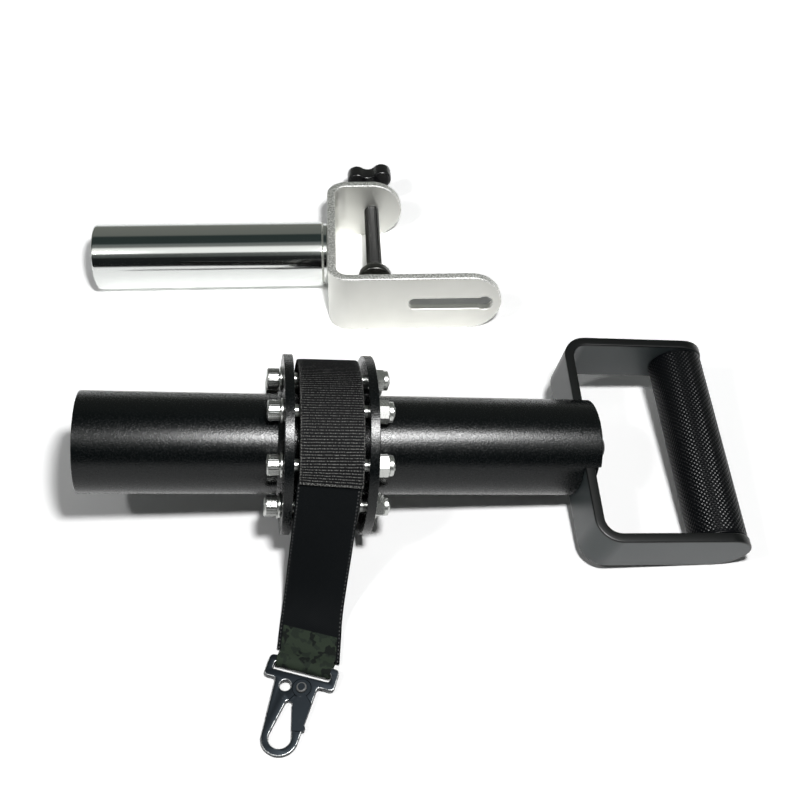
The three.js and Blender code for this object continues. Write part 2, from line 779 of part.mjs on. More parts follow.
// Teardrop eye: a small circle near the rivet and a large one in the nose, with their tangents
function eyeShape() {
  const away = noseFromBar - eyeTopFromBar;
  const lean = Math.atan2(eyeTopLeft, away);
  const slope = Math.asin((eyeRadius - eyeTopRadius) / Math.hypot(away, eyeTopLeft));
  const shape = new THREE.Shape();
  shape.absarc(-eyeTopLeft, -eyeTopFromBar, eyeTopRadius, slope + lean, Math.PI - slope + lean, false);
  shape.absarc(0, -noseFromBar, eyeRadius, Math.PI - slope + lean, 2 * Math.PI + slope + lean, false);
  return shape;
}

// Ring sector about the pivot; angles from the nose direction towards the right
function sectorShape(inner, outer, from, to) {
  const [start, end] = [turn(from - 90), turn(to - 90)];
  const shape = new THREE.Shape();
  shape.absarc(pivotRight, -pivotFromBar, outer, start, end, false);
  if (inner > 0) shape.absarc(pivotRight, -pivotFromBar, inner, end, start, true);
  else shape.lineTo(pivotRight, -pivotFromBar);
  return shape;
}

// Gate: a full-thickness arm beside the eye, with a thinner tail over the plate at the pivot
function addGate(hook, eye) {
  const top = hookThickness / 2;
  const outline = new THREE.Shape();
  outline.moveTo(-neckLeft, -slotFoot - frameFoot / 2);
  outline.lineTo(-noseRadius, -noseFromBar);
  outline.absarc(0, -noseFromBar, noseRadius, Math.PI, 2 * Math.PI, false);
  outline.lineTo(neckRight, -slotFoot - frameFoot / 2);
  const arm = sectorShape(gateRoot, gateReach, gateInnerAngle, gateOuterAngle);
  const edge = noseRadius + tabProud;
  const tab = roundedRectangle(edge - 2 * tabProud, edge, -gateEndFromBar, tabLength - gateEndFromBar, tabProud / 2);
  const armSolid = solid(plate(outline, -top, top, endSteps))
    .add(solid(plate(tab, -top, top)))
    .intersect(solid(plate(arm, -hookThickness, hookThickness, endSteps)))
    .subtract(solid(plate(eye, -hookThickness, hookThickness, endSteps)));
  const tailWedge = sectorShape(0, gateRoot + seat, gateInnerAngle, gateOuterAngle);
  const tailSolid = solid(plate(tailWedge, top - gateLayer, top)).intersect(solid(plate(outline, -top, top, endSteps)));
  const knuckle = solid(plate(disc(pivotRight, -pivotFromBar, pivotHeadRadius), top - gateLayer, top, endSteps));
  const hole = solid(plate(disc(pivotRight, -pivotFromBar, rivetDiameter / 2 + seat), -hookThickness, hookThickness));
  const gate = armSolid.add(tailSolid).add(knuckle).subtract(hole);
  add(hook, 'hook_gate', surface(gate), gunmetal);

  const pin = rivetDiameter / 2;
  const under = top + seat;
  const rivet = turned([
    [-under - rivetTailHeight, 0],
    [-under - rivetTailHeight, rivetTailDiameter / 2],
    [-under, rivetTailDiameter / 2],
    [-under, pin],
    [under, pin],
    [under, rivetHeadDiameter / 2],
    [under + rivetHeadHeight, rivetHeadDiameter / 2 - seat],
    [under + rivetHeadHeight, 0],
  ], smallSides).rotateY(-Math.PI / 2).translate(pivotRight, -pivotFromBar, 0);
  add(hook, 'gate_rivet', rivet, gunmetal);

  const height = grooveFloor - top + (seat + springWire) / 2;
  const points = Array.from({ length: smallSides + 1 }, (_, k) => {
    const angle = turn((springTurn * k) / smallSides);
    return new THREE.Vector3(
      pivotRight + springRadius * Math.cos(angle),
      springRadius * Math.sin(angle) - pivotFromBar,
      height,
    );
  });
  const up = new THREE.Vector3(0, 0, 1);
  add(hook, 'gate_spring', band(framed(points, () => up), springWire, springWire), brightSteel);
}

// Clamp frame: X away from the spindle, Y across the jaw, Z up, on the bench
function clampGroup(height) {
  const clamp = new THREE.Group();
  clamp.position.set(clampBeside, clampBehind, height);
  clamp.rotation.z = turn(clampAngle);
  wristRoller.add(clamp);
  return clamp;
}

function addClamp() {
  const clamp = clampGroup(clampWidth / 2);
  const half = clampSpan / 2;
  const blank = bentBar(clampSpan, clampWidth, clampThickness, clampBend, farArm, nearArm);
  const radius = armSlotWidth / 2;
  const key = armSlotKeyDiameter / 2;
  const armSlotEnd = nearArm - armSlotEndWall;
  const armSlotStart = armSlotEnd - armSlotLength;
  const slot = roundedRectangle(armSlotStart, armSlotEnd - key + radius, -radius, radius, radius);
  const slotTool = plate(slot, -2 * overrun, 2 * overrun).rotateX(Math.PI / 2).translate(0, -half, 0);
  const bracket = cut(
    blank,
    slotTool,
    crossHole(armSlotEnd - key, 0, key, -half),
    crossHole(screwFromBase(), 0, screwDiameter / 2 + seat, half),
  );
  add(clamp, 'clamp_bracket', bracket, satinPlate);
}

function screwFromBase() {
  return farArm - clampWidth / 2;
}

function addSpindle() {
  const clamp = clampGroup(spindleRadius);
  const radius = spindleRadius;
  const bore = radius - spindleWall;
  const spindle = turned([
    [-spindleLength, bore],
    [-spindleLength, radius - tubeChamfer],
    [tubeChamfer - spindleLength, radius],
    [-neckLength - spindleChamfer - seat, radius],
    [-neckLength - seat, radius - neckDepth],
    [-seat, radius - neckDepth],
    [-seat, bore],
  ]);
  add(clamp, 'spindle', spindle, polished);
  const capStart = -spindleLength + tubeChamfer;
  add(clamp, 'spindle_cap', bar(capStart, capStart + capLength, bore - seat, largeSides / 2), blackPlastic);
}

// The screw runs along Y through the far arm; the pad on its ball end faces the near arm
function addScrew() {
  const clamp = clampGroup(clampWidth / 2);
  const half = clampSpan / 2;
  const face = padToNearArm + clampThickness - half;
  const alongY = (geometry) => geometry.rotateZ(Math.PI / 2).translate(screwFromBase(), face, 0);
  const ball = ballDiameter / 2;
  const neck = ball * neckShare;
  const thread = screwDiameter / 2;
  const padSocketRadius = ball + seat;
  const padSocketCentre = padSocketFloor + padSocketRadius;
  const padBossHeight = padSocketCentre + padSocketGrip;
  const padBossRadius = padSocketRadius + padBossWall;
  const padWallRadius = padBossRadius + padGroove;
  const padRadius = padWallRadius + padWall;
  const knobStart = half + knobBehindArm - face;
  const neckAngle = Math.asin(neck / ball);
  const ballArc = Array.from({ length: ballSteps }, (_, k) => {
    const angle = Math.PI - ((Math.PI - neckAngle) * k) / (ballSteps - 1);
    return [padSocketCentre + ball * Math.cos(angle), ball * Math.sin(angle)];
  });
  ballArc[0][1] = 0;
  const screw = turned([
    ...ballArc,
    [padBossHeight + neckPastPad, neck],
    [padBossHeight + neckPastPad + thread - neck, thread],
    [knobStart + knobGrip, thread],
    [knobStart + knobGrip, 0],
  ], smallSides);
  add(clamp, 'clamp_screw', alongY(screw), brightSteel);

  const mouth = Math.asin((padSocketRadius * Math.sin(neckAngle) + seat) / padSocketRadius);
  const socket = Array.from({ length: ballSteps }, (_, k) => {
    const angle = mouth + ((Math.PI - mouth) * k) / (ballSteps - 1);
    return [padSocketCentre + padSocketRadius * Math.cos(angle), padSocketRadius * Math.sin(angle)];
  });
  socket.at(-1)[1] = 0;
  const socketMouth = padSocketRadius * Math.sin(mouth);
  const pad = turned([
    [0, 0],
    [0, padRadius - tubeChamfer],
    [tubeChamfer, padRadius],
    [padFoot, padRadius],
    [padRim, padRadius - tubeChamfer],
    [padRim, padWallRadius],
    [padWell, padWallRadius - tubeChamfer],
    [padWell, padBossRadius],
    [padBossHeight, padBossRadius - tubeChamfer],
    [padBossHeight, socketMouth],
    ...socket,
  ], smallSides);
  add(clamp, 'swivel_pad', alongY(pad), brightSteel);

  const knob = cut(
    joined(
      new THREE.ExtrudeGeometry(lobedShape(), {
        depth: knobDepth - 2 * knobBevel,
        bevelThickness: knobBevel,
        bevelSize: knobBevel,
        bevelSegments: 2,
        curveSegments: bendSteps,
      }).rotateZ(turn(knobTurn)).rotateY(Math.PI / 2).translate(knobStart + knobHubHeight + knobBevel, 0, 0),
      bar(knobStart, knobStart + knobHubHeight + knobBevel, knobHubDiameter / 2),
    ),
    bar(knobStart - overrun, knobStart + knobGrip + seat, thread + seat),
  );
  add(clamp, 'clamp_knob', alongY(knob), blackPlastic);
}

// Three round lobes joined by hollows; drawn smaller by the bevel that is added round it
function lobedShape() {
  const lobe = knobLobeRadius - knobBevel;
  const centre = knobRadius - knobLobeRadius;
  const valley = knobValleyRadius + knobBevel;
  const between = Math.PI / 3;
  // A hollow's centre lies where its circle just touches both neighbouring lobes
  const reach = lobe + valley;
  const away = centre * Math.cos(between) + Math.sqrt(reach ** 2 - (centre * Math.sin(between)) ** 2);
  const shape = new THREE.Shape();
  for (let k = 0; k < 3; k += 1) {
    const angle = 2 * between * k;
    const [cx, cy] = [centre * Math.cos(angle), centre * Math.sin(angle)];
    const [vx, vy] = [away * Math.cos(angle + between), away * Math.sin(angle + between)];
    const touch = Math.atan2(vy - cy, vx - cx);
    const swing = 2 * (angle - touch);
    shape.absarc(cx, cy, lobe, touch + swing, touch, false);
    const nextAngle = angle + 2 * between;
    const [nx, ny] = [centre * Math.cos(nextAngle), centre * Math.sin(nextAngle)];
    shape.absarc(vx, vy, valley, Math.atan2(cy - vy, cx - vx), Math.atan2(ny - vy, nx - vx), true);
  }
  return shape;
}

export default wristRoller;
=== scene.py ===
import math

import bmesh
import bpy
import numpy as np
from mathutils import Matrix


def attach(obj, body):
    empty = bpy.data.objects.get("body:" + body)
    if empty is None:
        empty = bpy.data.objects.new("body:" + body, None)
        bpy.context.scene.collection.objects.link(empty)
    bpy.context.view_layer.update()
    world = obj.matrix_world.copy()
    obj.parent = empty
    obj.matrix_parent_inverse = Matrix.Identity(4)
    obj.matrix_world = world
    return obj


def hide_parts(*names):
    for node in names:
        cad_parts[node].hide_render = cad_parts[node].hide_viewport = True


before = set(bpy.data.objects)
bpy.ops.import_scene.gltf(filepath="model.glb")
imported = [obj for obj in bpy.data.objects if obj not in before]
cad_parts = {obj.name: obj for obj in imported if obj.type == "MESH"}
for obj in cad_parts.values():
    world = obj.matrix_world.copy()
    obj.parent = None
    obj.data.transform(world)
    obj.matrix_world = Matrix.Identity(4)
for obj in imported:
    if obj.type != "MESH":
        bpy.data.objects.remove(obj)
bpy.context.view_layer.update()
MM = 0.001


# Camera
# A plain camera above the bench, a little in front of the set, looking down at it. Its lens gives the
# photograph's frame.
def add_object(name, data):
    """A new object in the scene."""
    made = bpy.data.objects.new(name, data)
    bpy.context.scene.collection.objects.link(made)
    return made


# The camera's right, down and forward directions.
camera_rows = np.array([
    [0.99525007, -0.09399752, 0.02533319],
    [-0.0523814, -0.73640366, -0.67451155],
    [0.08205787, 0.66998068, -0.73782951],
])
camera_place = np.array([-39.159, -380.510, 427.027])
camera_data = bpy.data.cameras.new("view_camera")
camera_data.lens, camera_data.sensor_width = 44.18, 36.0
camera_data.clip_start, camera_data.clip_end = 0.01, 20
camera = add_object("view_camera", camera_data)
camera_axes = camera_rows * np.array([[1], [-1], [-1]])
camera.matrix_world = Matrix([[*axis, at] for axis, at in zip(camera_axes.T.tolist(), (camera_place * MM).tolist())]
                             + [[0, 0, 0, 1]])
bpy.context.scene.camera = camera
bpy.context.scene.view_settings.view_transform = "Standard"


# Bench, lamps and room
# A white bench top under a near lamp and a weaker one at the left, in an even room light. A lamp that only
# gloss shows gives the tube its streak. Shiny pieces see a plain studio: dark walls, a bright strip, a grey
# ceiling.
class Wire:
    """A value on its way through a shader. Python's own arithmetic on it adds Math nodes."""

    def __init__(self, finish, socket):
        self.finish, self.socket = finish, socket

    def math(self, operation, *values):
        return self.finish.node("ShaderNodeMath", {"operation": operation}, *values)

    def __add__(self, other):
        return self.math("ADD", self, other)

    def __sub__(self, other):
        return self.math("SUBTRACT", self, other)

    def __rsub__(self, other):
        return self.math("SUBTRACT", other, self)

    def __mul__(self, other):
        return self.math("MULTIPLY", self, other)

    def __truediv__(self, other):
        return self.math("DIVIDE", self, other)

    def __rtruediv__(self, other):
        return self.math("DIVIDE", other, self)

    def __pow__(self, other):
        return self.math("POWER", self, other)

    def __gt__(self, other):
        return self.math("GREATER_THAN", self, other)

    def __lt__(self, other):
        return self.math("LESS_THAN", self, other)

    def __abs__(self):
        return self.math("ABSOLUTE", self)

    __radd__, __rmul__ = __add__, __mul__

    def most(self, other):
        return self.math("MAXIMUM", self, other)

    def wave(self):
        """The sine of the value."""
        return self.math("SINE", self)

    def beside(self, name):
        """Another output of the node that the value comes from."""
        return Wire(self.finish, self.socket.node.outputs[name])

    def between(self, low, high, start=0.0, end=1.0):
        """Runs smoothly from start to end while the value runs from low to high."""
        return self.finish.node("ShaderNodeMapRange", {"interpolation_type": "SMOOTHSTEP"}, self, low, high, start, end)


class Finish:
    """A material, world or other node tree, and the ways to add to it."""

    def __init__(self, name, owner=None, **shader):
        self.owner = owner or bpy.data.materials.new(name)
        self.owner.use_nodes = True
        self.tree = self.owner.node_tree
        self.tree.nodes.clear()
        self.shader = None
        if owner is None:
            self.shader = self.tree.nodes.new("ShaderNodeBsdfPrincipled")
            output = self.tree.nodes.new("ShaderNodeOutputMaterial")
            self.tree.links.new(self.shader.outputs[0], output.inputs["Surface"])
            for socket, value in shader.items():
                self.feed(socket.replace("_", " "), value)

    def join(self, socket, value):
        if isinstance(value, Wire):
            self.tree.links.new(value.socket, socket)
        elif value is not None:
            if hasattr(value, "__len__") and socket.type == "RGBA" and len(value) == 3:
                value = (*value, 1)
            socket.default_value = value

    def node(self, kind, settings=None, *values, out=0, **named):
        """A node of that type: its settings first, then its sockets in order or by name."""
        made = self.tree.nodes.new(kind)
        for key, value in (settings or {}).items():
            if key == "stops":
                ramp = made.color_ramp.elements
                while len(ramp) < len(value):
                    ramp.new(0.5)
                for element, (place, colour) in zip(ramp, value):
                    element.position, element.color = place, (*colour, 1)
            else:
                setattr(made, key, value)
        for socket, value in zip(made.inputs, values):
            self.join(socket, value)
        for key, value in named.items():
            self.join(made.inputs[key.replace("_", " ")], value)
        return Wire(self, made.outputs[out])

    def feed(self, socket, value):
        self.join(self.shader.inputs[socket], value)

    def mixed(self, share, first, second):
        """Colour first where share is 0, second where it is 1."""
        made = self.tree.nodes.new("ShaderNodeMix")
        made.data_type = "RGBA"
        for socket, value in ((0, share), (6, first), (7, second)):
            self.join(made.inputs[socket], value)
        return Wire(self, made.outputs[2])

    def places(self, scale=(1, 1, 1), turned=(0, 0, 0), uv=False):
        """Object coordinates, or the piece's own map in millimetres, turned and stretched."""
        source = self.node("ShaderNodeTexCoord", out="UV" if uv else "Object")
        return self.node("ShaderNodeMapping", {}, source, None, turned, scale)

    def grain(self, size, detail=2.0, roughness=0.5, **places):
        """Soft noise whose spots are about that many millimetres across."""
        step = 1 / size if places.get("uv") else 1000 / size
        return self.node("ShaderNodeTexNoise", {}, self.places(**places), None, step, detail, roughness)

    def relief(self, height, depth):
        """Raises the surface in the shader: height from 0 to 1 stands for that many millimetres."""
        self.feed("Normal", self.node("ShaderNodeBump", {}, Height=height, Strength=1.0, Distance=depth * MM))

    def colour(self, share, first, second):
        """Colours the surface: first where share is 0, second where it is 1."""
        self.feed("Base Color", self.mixed(share, first, second))

    def mark(self, name):
        """The piece's own attribute of that name, from 0 to 1."""
        return self.node("ShaderNodeAttribute", {"attribute_name": name}, out="Fac")

    def ray(self, kind):
        """1 for rays of that kind."""
        return self.node("ShaderNodeLightPath", out=f"Is {kind} Ray")

    def seen(self):
        """1 for camera, glossy and transmission rays, which show a background."""
        return (self.ray("Camera") + self.ray("Glossy") + self.ray("Transmission")) > 0.5


main_place, left_place = (30, -290, 520), (-390, -330, 650)
bench_finish = Finish("bench_white", Roughness=0.9, Specular_IOR_Level=0.0)


def light_below(place, level):
    """A lamp's light on the bench: its level at the lamp's foot over the square of 1 + (distance / height)^2."""
    foot = bench_finish.node("ShaderNodeVectorMath", {"operation": "DISTANCE"}, bench_finish.places(),
                             (place[0] * MM, place[1] * MM, 0), out="Value")
    return level / (1 + (foot / (place[2] * MM)) ** 2.0) ** 2.0


# Seen rays get the colour that this light turns into an even white, above 1 where the light is below it, so
# that only the shadows show.
lit = 0.08 + light_below(main_place, 1.35) + light_below(left_place, 0.25)
bench_finish.colour(bench_finish.seen(), (0.925, 0.935, 0.93), 1.06 / lit)
bench = add_object("bench_top", bpy.data.meshes.new("bench_top"))
half_bench, bench_level = 3, -0.0002
bench.data.from_pydata([(x * half_bench, y * half_bench, bench_level) for x, y in ((-1, -1), (1, -1), (1, 1), (-1, 1))],
                       [], [(0, 1, 2, 3)])
bench.data.materials.append(bench_finish.owner)


def add_lamp(name, place, aim, size, power):
    """A round lamp at a place in millimetres, facing the aim."""
    data = bpy.data.lights.new(name, "AREA")
    data.shape, data.size, data.energy = "DISK", size * MM, power
    lamp = add_object(name, data)
    toward = np.array(aim, float) - np.array(place, float)
    back = -toward / np.linalg.norm(toward)
    side = np.cross([0, 1, 0.01], back)
    side /= np.linalg.norm(side)
    axes = np.stack([side, np.cross(back, side), back], 1)
    lamp.matrix_world = Matrix([[*row, at * MM] for row, at in zip(axes.tolist(), place)] + [[0, 0, 0, 1]])
    return lamp


add_lamp("main_lamp", main_place, (*main_place[:2], 0), 60, 3.6)
add_lamp("left_lamp", left_place, (*left_place[:2], 0), 60, 1.04)
side_lamp = add_lamp("side_lamp", (208, -280, 712), (10, -81, 70), 70, 5.3)
side_lamp.visible_diffuse = False

room = bpy.data.worlds.new("studio_room")
bpy.context.scene.world = room
room_finish = Finish("studio_room", owner=room)
direction = room_finish.node("ShaderNodeTexCoord", out="Generated")
split = room_finish.node("ShaderNodeSeparateXYZ", {}, direction)
rise = split.math("ARCTAN2", split.beside("Z"), split.beside("Y") * -1.0) / math.pi
studio = room_finish.node("ShaderNodeValToRGB", {"stops": [
    (0.0, (0.9, 0.9, 0.9)), (0.02, (0.012, 0.014, 0.014)), (0.185, (0.012, 0.014, 0.014)), (0.20, (0.07, 0.08, 0.075)),
    (0.262, (0.10, 0.11, 0.105)), (0.275, (1.1, 1.12, 1.09)), (0.365, (1.1, 1.12, 1.09)), (0.40, (0.20, 0.21, 0.20)),
    (0.45, (0.16, 0.18, 0.175)), (0.47, (0.03, 0.042, 0.04)), (0.62, (0.03, 0.042, 0.04)), (0.66, (0.16, 0.17, 0.155)),
    (0.94, (0.19, 0.20, 0.18)), (0.99, (0.6, 0.62, 0.6)),
]}, rise)
seen_room = room_finish.mixed(room_finish.ray("Camera"), studio, (1, 1, 1))
room_light = room_finish.mixed(room_finish.seen(), (0.078, 0.081, 0.08), seen_room)
backdrop = room_finish.node("ShaderNodeBackground", {}, room_light, 1.0)
world_output = room_finish.tree.nodes.new("ShaderNodeOutputWorld")
room_finish.tree.links.new(backdrop.socket, world_output.inputs["Surface"])


# Main tube
# A 50 mm steel tube, open at the left, powder coated satin black with a fine grain.
# Its right end is slotted across for the handle's bar, between two lips.
def spun(axis, degrees):
    """Matrix that turns about a main axis."""
    c, s = math.cos(math.radians(degrees)), math.sin(math.radians(degrees))
    return np.array({"x": [[1, 0, 0], [0, c, -s], [0, s, c]], "y": [[c, 0, s], [0, 1, 0], [-s, 0, c]],
                     "z": [[c, -s, 0], [s, c, 0], [0, 0, 1]]}[axis])


class Place:
    """Where a group of pieces stands: its axes and its origin, in millimetres on the bench."""

    def __init__(self, origin, axes=np.eye(3), base=None):
        self.axes = np.array(axes) if base is None else base.axes @ axes
        self.origin = np.array(origin, float) if base is None else base.origin + base.axes @ np.array(origin, float)

    def world(self, points):
        return (points @ self.axes.T + self.origin) * MM


roller_tilt, roller_height, slot_turn = 5.98684, 47.0492, 11.4
on_bench = Place((-37.36805, -62.93833, 0.06470))
roller_place = Place((0, 0, roller_height), spun("y", roller_tilt), on_bench)


def shell(name, points, place, finish, body, wrap=(False, True), sharp=35.0, flat_map=None, marks=None):
    """A grid of points, rows by columns, as one closed skin: neighbours in the grid are joined by quads,
    wrapped round in either direction, and points that meet are merged."""
    rows, columns = points.shape[:2]
    index = np.arange(rows * columns).reshape(rows, columns)
    after = np.roll(index, -1, 0) if wrap[0] else index[1:]
    near = index if wrap[0] else index[:-1]
    if wrap[1]:
        corners = np.stack([near, np.roll(near, -1, 1), np.roll(after, -1, 1), after], -1)
    else:
        corners = np.stack([near[:, :-1], near[:, 1:], after[:, 1:], after[:, :-1]], -1)
    quads = corners.reshape(-1, 4)
    mesh = bpy.data.meshes.new(name)
    mesh.from_pydata(place.world(points.reshape(-1, 3)), [], quads.tolist())
    if flat_map is not None:
        layer = mesh.uv_layers.new(name="flat_map")
        layer.data.foreach_set("uv", flat_map.reshape(-1, 2)[quads.ravel()].astype(np.float32).ravel())
    for key, values in (marks or {}).items():
        mesh.attributes.new(key, "FLOAT", "POINT").data.foreach_set("value", values.astype(np.float32).ravel())
    return dressed(name, mesh, finish, body, sharp)


def merged(mesh, thin_edges=True):
    """Merges a mesh's doubles, takes out edges without length where asked, and turns its faces outwards."""
    work = bmesh.new()
    work.from_mesh(mesh)
    bmesh.ops.remove_doubles(work, verts=work.verts, dist=2e-6)
    if thin_edges:
        bmesh.ops.dissolve_degenerate(work, edges=work.edges, dist=1e-7)
    bmesh.ops.recalc_face_normals(work, faces=work.faces)
    work.to_mesh(mesh)
    work.free()
    return mesh


def dressed(name, mesh, finish, body, sharp=35.0):
    """Closes a mesh and puts it on its body in its finish."""
    merged(mesh).shade_smooth()
    mesh.set_sharp_from_angle(angle=math.radians(sharp))
    mesh.materials.clear()
    mesh.materials.append(finish.owner)
    piece = add_object(name, mesh)
    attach(piece, body)
    return piece


def softened(corners, radius, steps=4, hold=0.5):
    """A line through corners with each inner corner rounded: a curve from one side to the other that leaves
    the sides at a distance set by the radius and the angle, held straight just outside it."""
    corners = np.array(corners, float)
    radius = np.broadcast_to(np.array(radius, float), (len(corners) - 2,))
    back, ahead = corners[:-2] - corners[1:-1], corners[2:] - corners[1:-1]
    back_length, ahead_length = np.linalg.norm(back, axis=1), np.linalg.norm(ahead, axis=1)
    back, ahead = back / back_length[:, None], ahead / ahead_length[:, None]
    half = np.arccos(np.clip((back * ahead).sum(1), -1, 1)) / 2
    reach = np.minimum(radius / np.maximum(np.tan(half), 1e-6), 0.45 * np.minimum(back_length, ahead_length))[:, None]
    s = np.linspace(0, 1, steps + 1)[None, :, None]
    at, b, a = corners[1:-1, None, :], (back * reach)[:, None, :], (ahead * reach)[:, None, :]
    curve = (1 - s) ** 2 * (at + b) + 2 * s * (1 - s) * at + s ** 2 * (at + a)
    spare = np.minimum(hold, 0.2 * np.minimum(back_length, ahead_length))[:, None]
    before = (corners[1:-1] + back * (reach + spare))[:, None, :]
    past = (corners[1:-1] + ahead * (reach + spare))[:, None, :]
    return np.concatenate([corners[:1], np.concatenate([before, curve, past], 1).reshape(-1, 2), corners[-1:]])


def turned(line, sides, shape=None):
    """Points of a body of revolution about X: each (along, radius) of the line swept round in equal steps.
    shape may change the radius at each row and angle."""
    line = np.array(line, float)
    angle = np.linspace(0, 2 * np.pi, sides, endpoint=False)
    radius = np.repeat(line[:, 1:2], sides, 1)
    along = np.repeat(line[:, :1], sides, 1)
    if shape is not None:
        radius = shape(along, radius, angle[None, :])
    return np.stack([along, radius * np.cos(angle), radius * np.sin(angle)], -1)


# The coat has a fine orange-peel grain in its relief and specks in its gloss.
black_coat = Finish("black_powder_coat", Specular_IOR_Level=0.30)
coat_tone = (0.0012, 0.0019, 0.0021)
black_coat.colour(black_coat.grain(14.0, 2.0), [c * 0.8 for c in coat_tone], [c * 1.2 for c in coat_tone])
black_coat.feed("Roughness", 0.21 + black_coat.grain(1.0, 1.0).between(0.35, 0.65) * 0.07)
black_coat.relief(black_coat.grain(0.7, 3.0, 0.6), 0.09)

tube_radius, bore_radius, mouth, tube_end, slot_end, half_slot = 25, 22, -119, 137, 128.5, 15.3
outer_cut, inner_cut = math.asin(half_slot / tube_radius), math.asin(half_slot / bore_radius)
sector_counts = (20, 40, 20, 40)


def sector_angles(cut):
    """Angles round the tube: four sectors whose borders are the slot's sides, which appear twice."""
    borders = [-cut, cut, math.pi - cut, math.pi + cut, 2 * math.pi - cut]
    return np.concatenate([np.linspace(a, b, n + 1) for a, b, n in zip(borders, borders[1:], sector_counts)])


outer_angle, inner_angle = sector_angles(outer_cut), sector_angles(inner_cut)
column_end = np.concatenate([np.full(n + 1, end) for n, end in zip(sector_counts, (slot_end, tube_end) * 2)])
left_line = softened([(-60, bore_radius), (mouth, bore_radius), (mouth, tube_radius), (-60, tube_radius)], 0.7)
right_line = softened([(-9.5, tube_radius), (0, tube_radius), (0, bore_radius), (-9.5, bore_radius)], 0.6)
along = np.concatenate([np.repeat(left_line[:, :1], len(column_end), 1),
                        right_line[:, :1] + column_end[None, :]])
radius = np.concatenate([left_line[:, 1], right_line[:, 1]])[:, None]
inward = (tube_radius - radius) / (tube_radius - bore_radius)
angle = outer_angle * (1 - inward) + inner_angle * inward
tube_points = np.stack([along, radius * np.cos(angle), radius * np.sin(angle)], -1)
tube_place = Place((0, 0, 0), spun("x", slot_turn), roller_place)
main_tube = shell("roller_tube", tube_points, tube_place, black_coat, "set", wrap=(True, True))
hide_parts("main_tube")

# Drum flanges
# Two 90 mm turned steel discs welded to the tube, coated with it. A rippled weld bead runs round the tube
# on the outer side of each.
flange_line = softened([(-2, 25.3), (-4.6, 25.3), (-4.6, 45), (0, 45), (0, 28.0), (2.6, 25.3), (1, 25.3)],
                       [0.4, 0.35, 0.35, 1.2, 0.5], 5, 0.2)
outer_face = 22


def bead(along, radius, angle):
    """Ripples of the weld: the radius near the tube rises and falls as the angle goes round."""
    at_weld = np.clip((28.2 - radius) / 1.5, 0, 1) * (along > 0.05)
    return radius + at_weld * 0.22 * np.abs(np.sin(26 * angle + 1.3 * along))


for side, node in ((1, "right_flange"), (-1, "left_flange")):
    points = turned(flange_line, 288, bead)
    points[..., 0] = side * (points[..., 0] + outer_face)
    flange = shell("drum_" + node, points, roller_place, black_coat, "set", wrap=(True, True))
    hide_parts(node)


# Through bolts
# Eight M6 socket-head screws of bright steel: knurled heads on washers at the left, plain shanks across the
# drum, and collared lock nuts on the threaded ends at the right.
def steel(name, colour, roughness, depth=0.004, mark=None, marked=None):
    """Bare steel with fine scratches in the gloss and the relief. A broad noise clouds its colour; or the piece's
    mark turns it to another one."""
    finish = Finish(name, Metallic=1.0)
    fine = finish.grain(0.35, 3.0, 0.65)
    if mark:
        tone = finish.mixed(finish.mark(mark), colour, marked)
    else:
        tone = finish.mixed(finish.grain(6.0, 3.0), [c * 0.90 for c in colour], colour)
    finish.feed("Base Color", tone)
    finish.feed("Roughness", roughness - 0.05 + fine * 0.10)
    finish.relief(fine, depth)
    return finish


# Painted shade: where a piece's groove mark is 1, the steel turns near black, as shade in the bolt heads' grooves.
bright_steel = steel("bright_steel", (0.52, 0.53, 0.51), 0.28, mark="groove", marked=(0.03, 0.03, 0.03))


def sixsided(angle):
    """Radius of a hexagon, as a share of its flats' distance, at an angle."""
    return 1 / np.cos((angle + np.pi / 6) % (np.pi / 3) - np.pi / 6)


bolt_radius, bolt_circle, head_radius = 3.0, 33.5, 5.0
seat_gap, washer_depth = 0.3, 1.2
head_face = -(outer_face + seat_gap + washer_depth + seat_gap)
head_top = head_face - 6
nut_face = outer_face + seat_gap
nut_end = nut_face + 6.5
shank_end = nut_end + 1.9
head_line = np.array([
    (head_top + 3.0, 0), (head_top + 3.0, 2.46), (head_top + 0.25, 2.5), (head_top, 2.75), (head_top, 4.0),
    (head_top + 0.12, 4.45), (head_top + 0.45, 4.86), (head_top + 0.75, head_radius), (head_top + 0.95, head_radius),
    (head_face - 0.6, head_radius), (head_face - 0.35, head_radius), (head_face, 4.7), (head_face, bolt_radius),
])
thread_along = np.arange(nut_end - 0.5, shank_end - 0.4, 0.125)
thread_line = np.stack([thread_along, np.full(len(thread_along), bolt_radius)], 1)
shank_line = np.concatenate([[(nut_end - 0.6, bolt_radius)], thread_line,
                             [(shank_end - 0.35, 2.9), (shank_end, 2.4), (shank_end, 0)]])
bolt_line = np.concatenate([head_line, shank_line])


def bolt_shape(along, radius, angle):
    """Hexagon in the key, 30 fine grooves round the head, and a 1 mm thread past the nut."""
    key = (along < head_top + 3.1) & (radius < 2.8) & (radius > 2.3)
    radius = np.where(key, radius * sixsided(angle), radius)
    rim = (radius > head_radius - 0.01) & (along > head_top + 0.7) & (along < head_face - 0.3)
    grooves = np.clip(np.cos(30 * angle) * 1.6, -1, 1)
    radius = np.where(rim, radius - 0.06 + 0.06 * grooves, radius)
    turns = (along - angle / (2 * np.pi)) % 1.0
    threaded = (along > nut_end - 0.4) & (radius > 2.95)
    return np.where(threaded, radius - 0.55 * (1 - np.abs(2 * turns - 1)), radius)


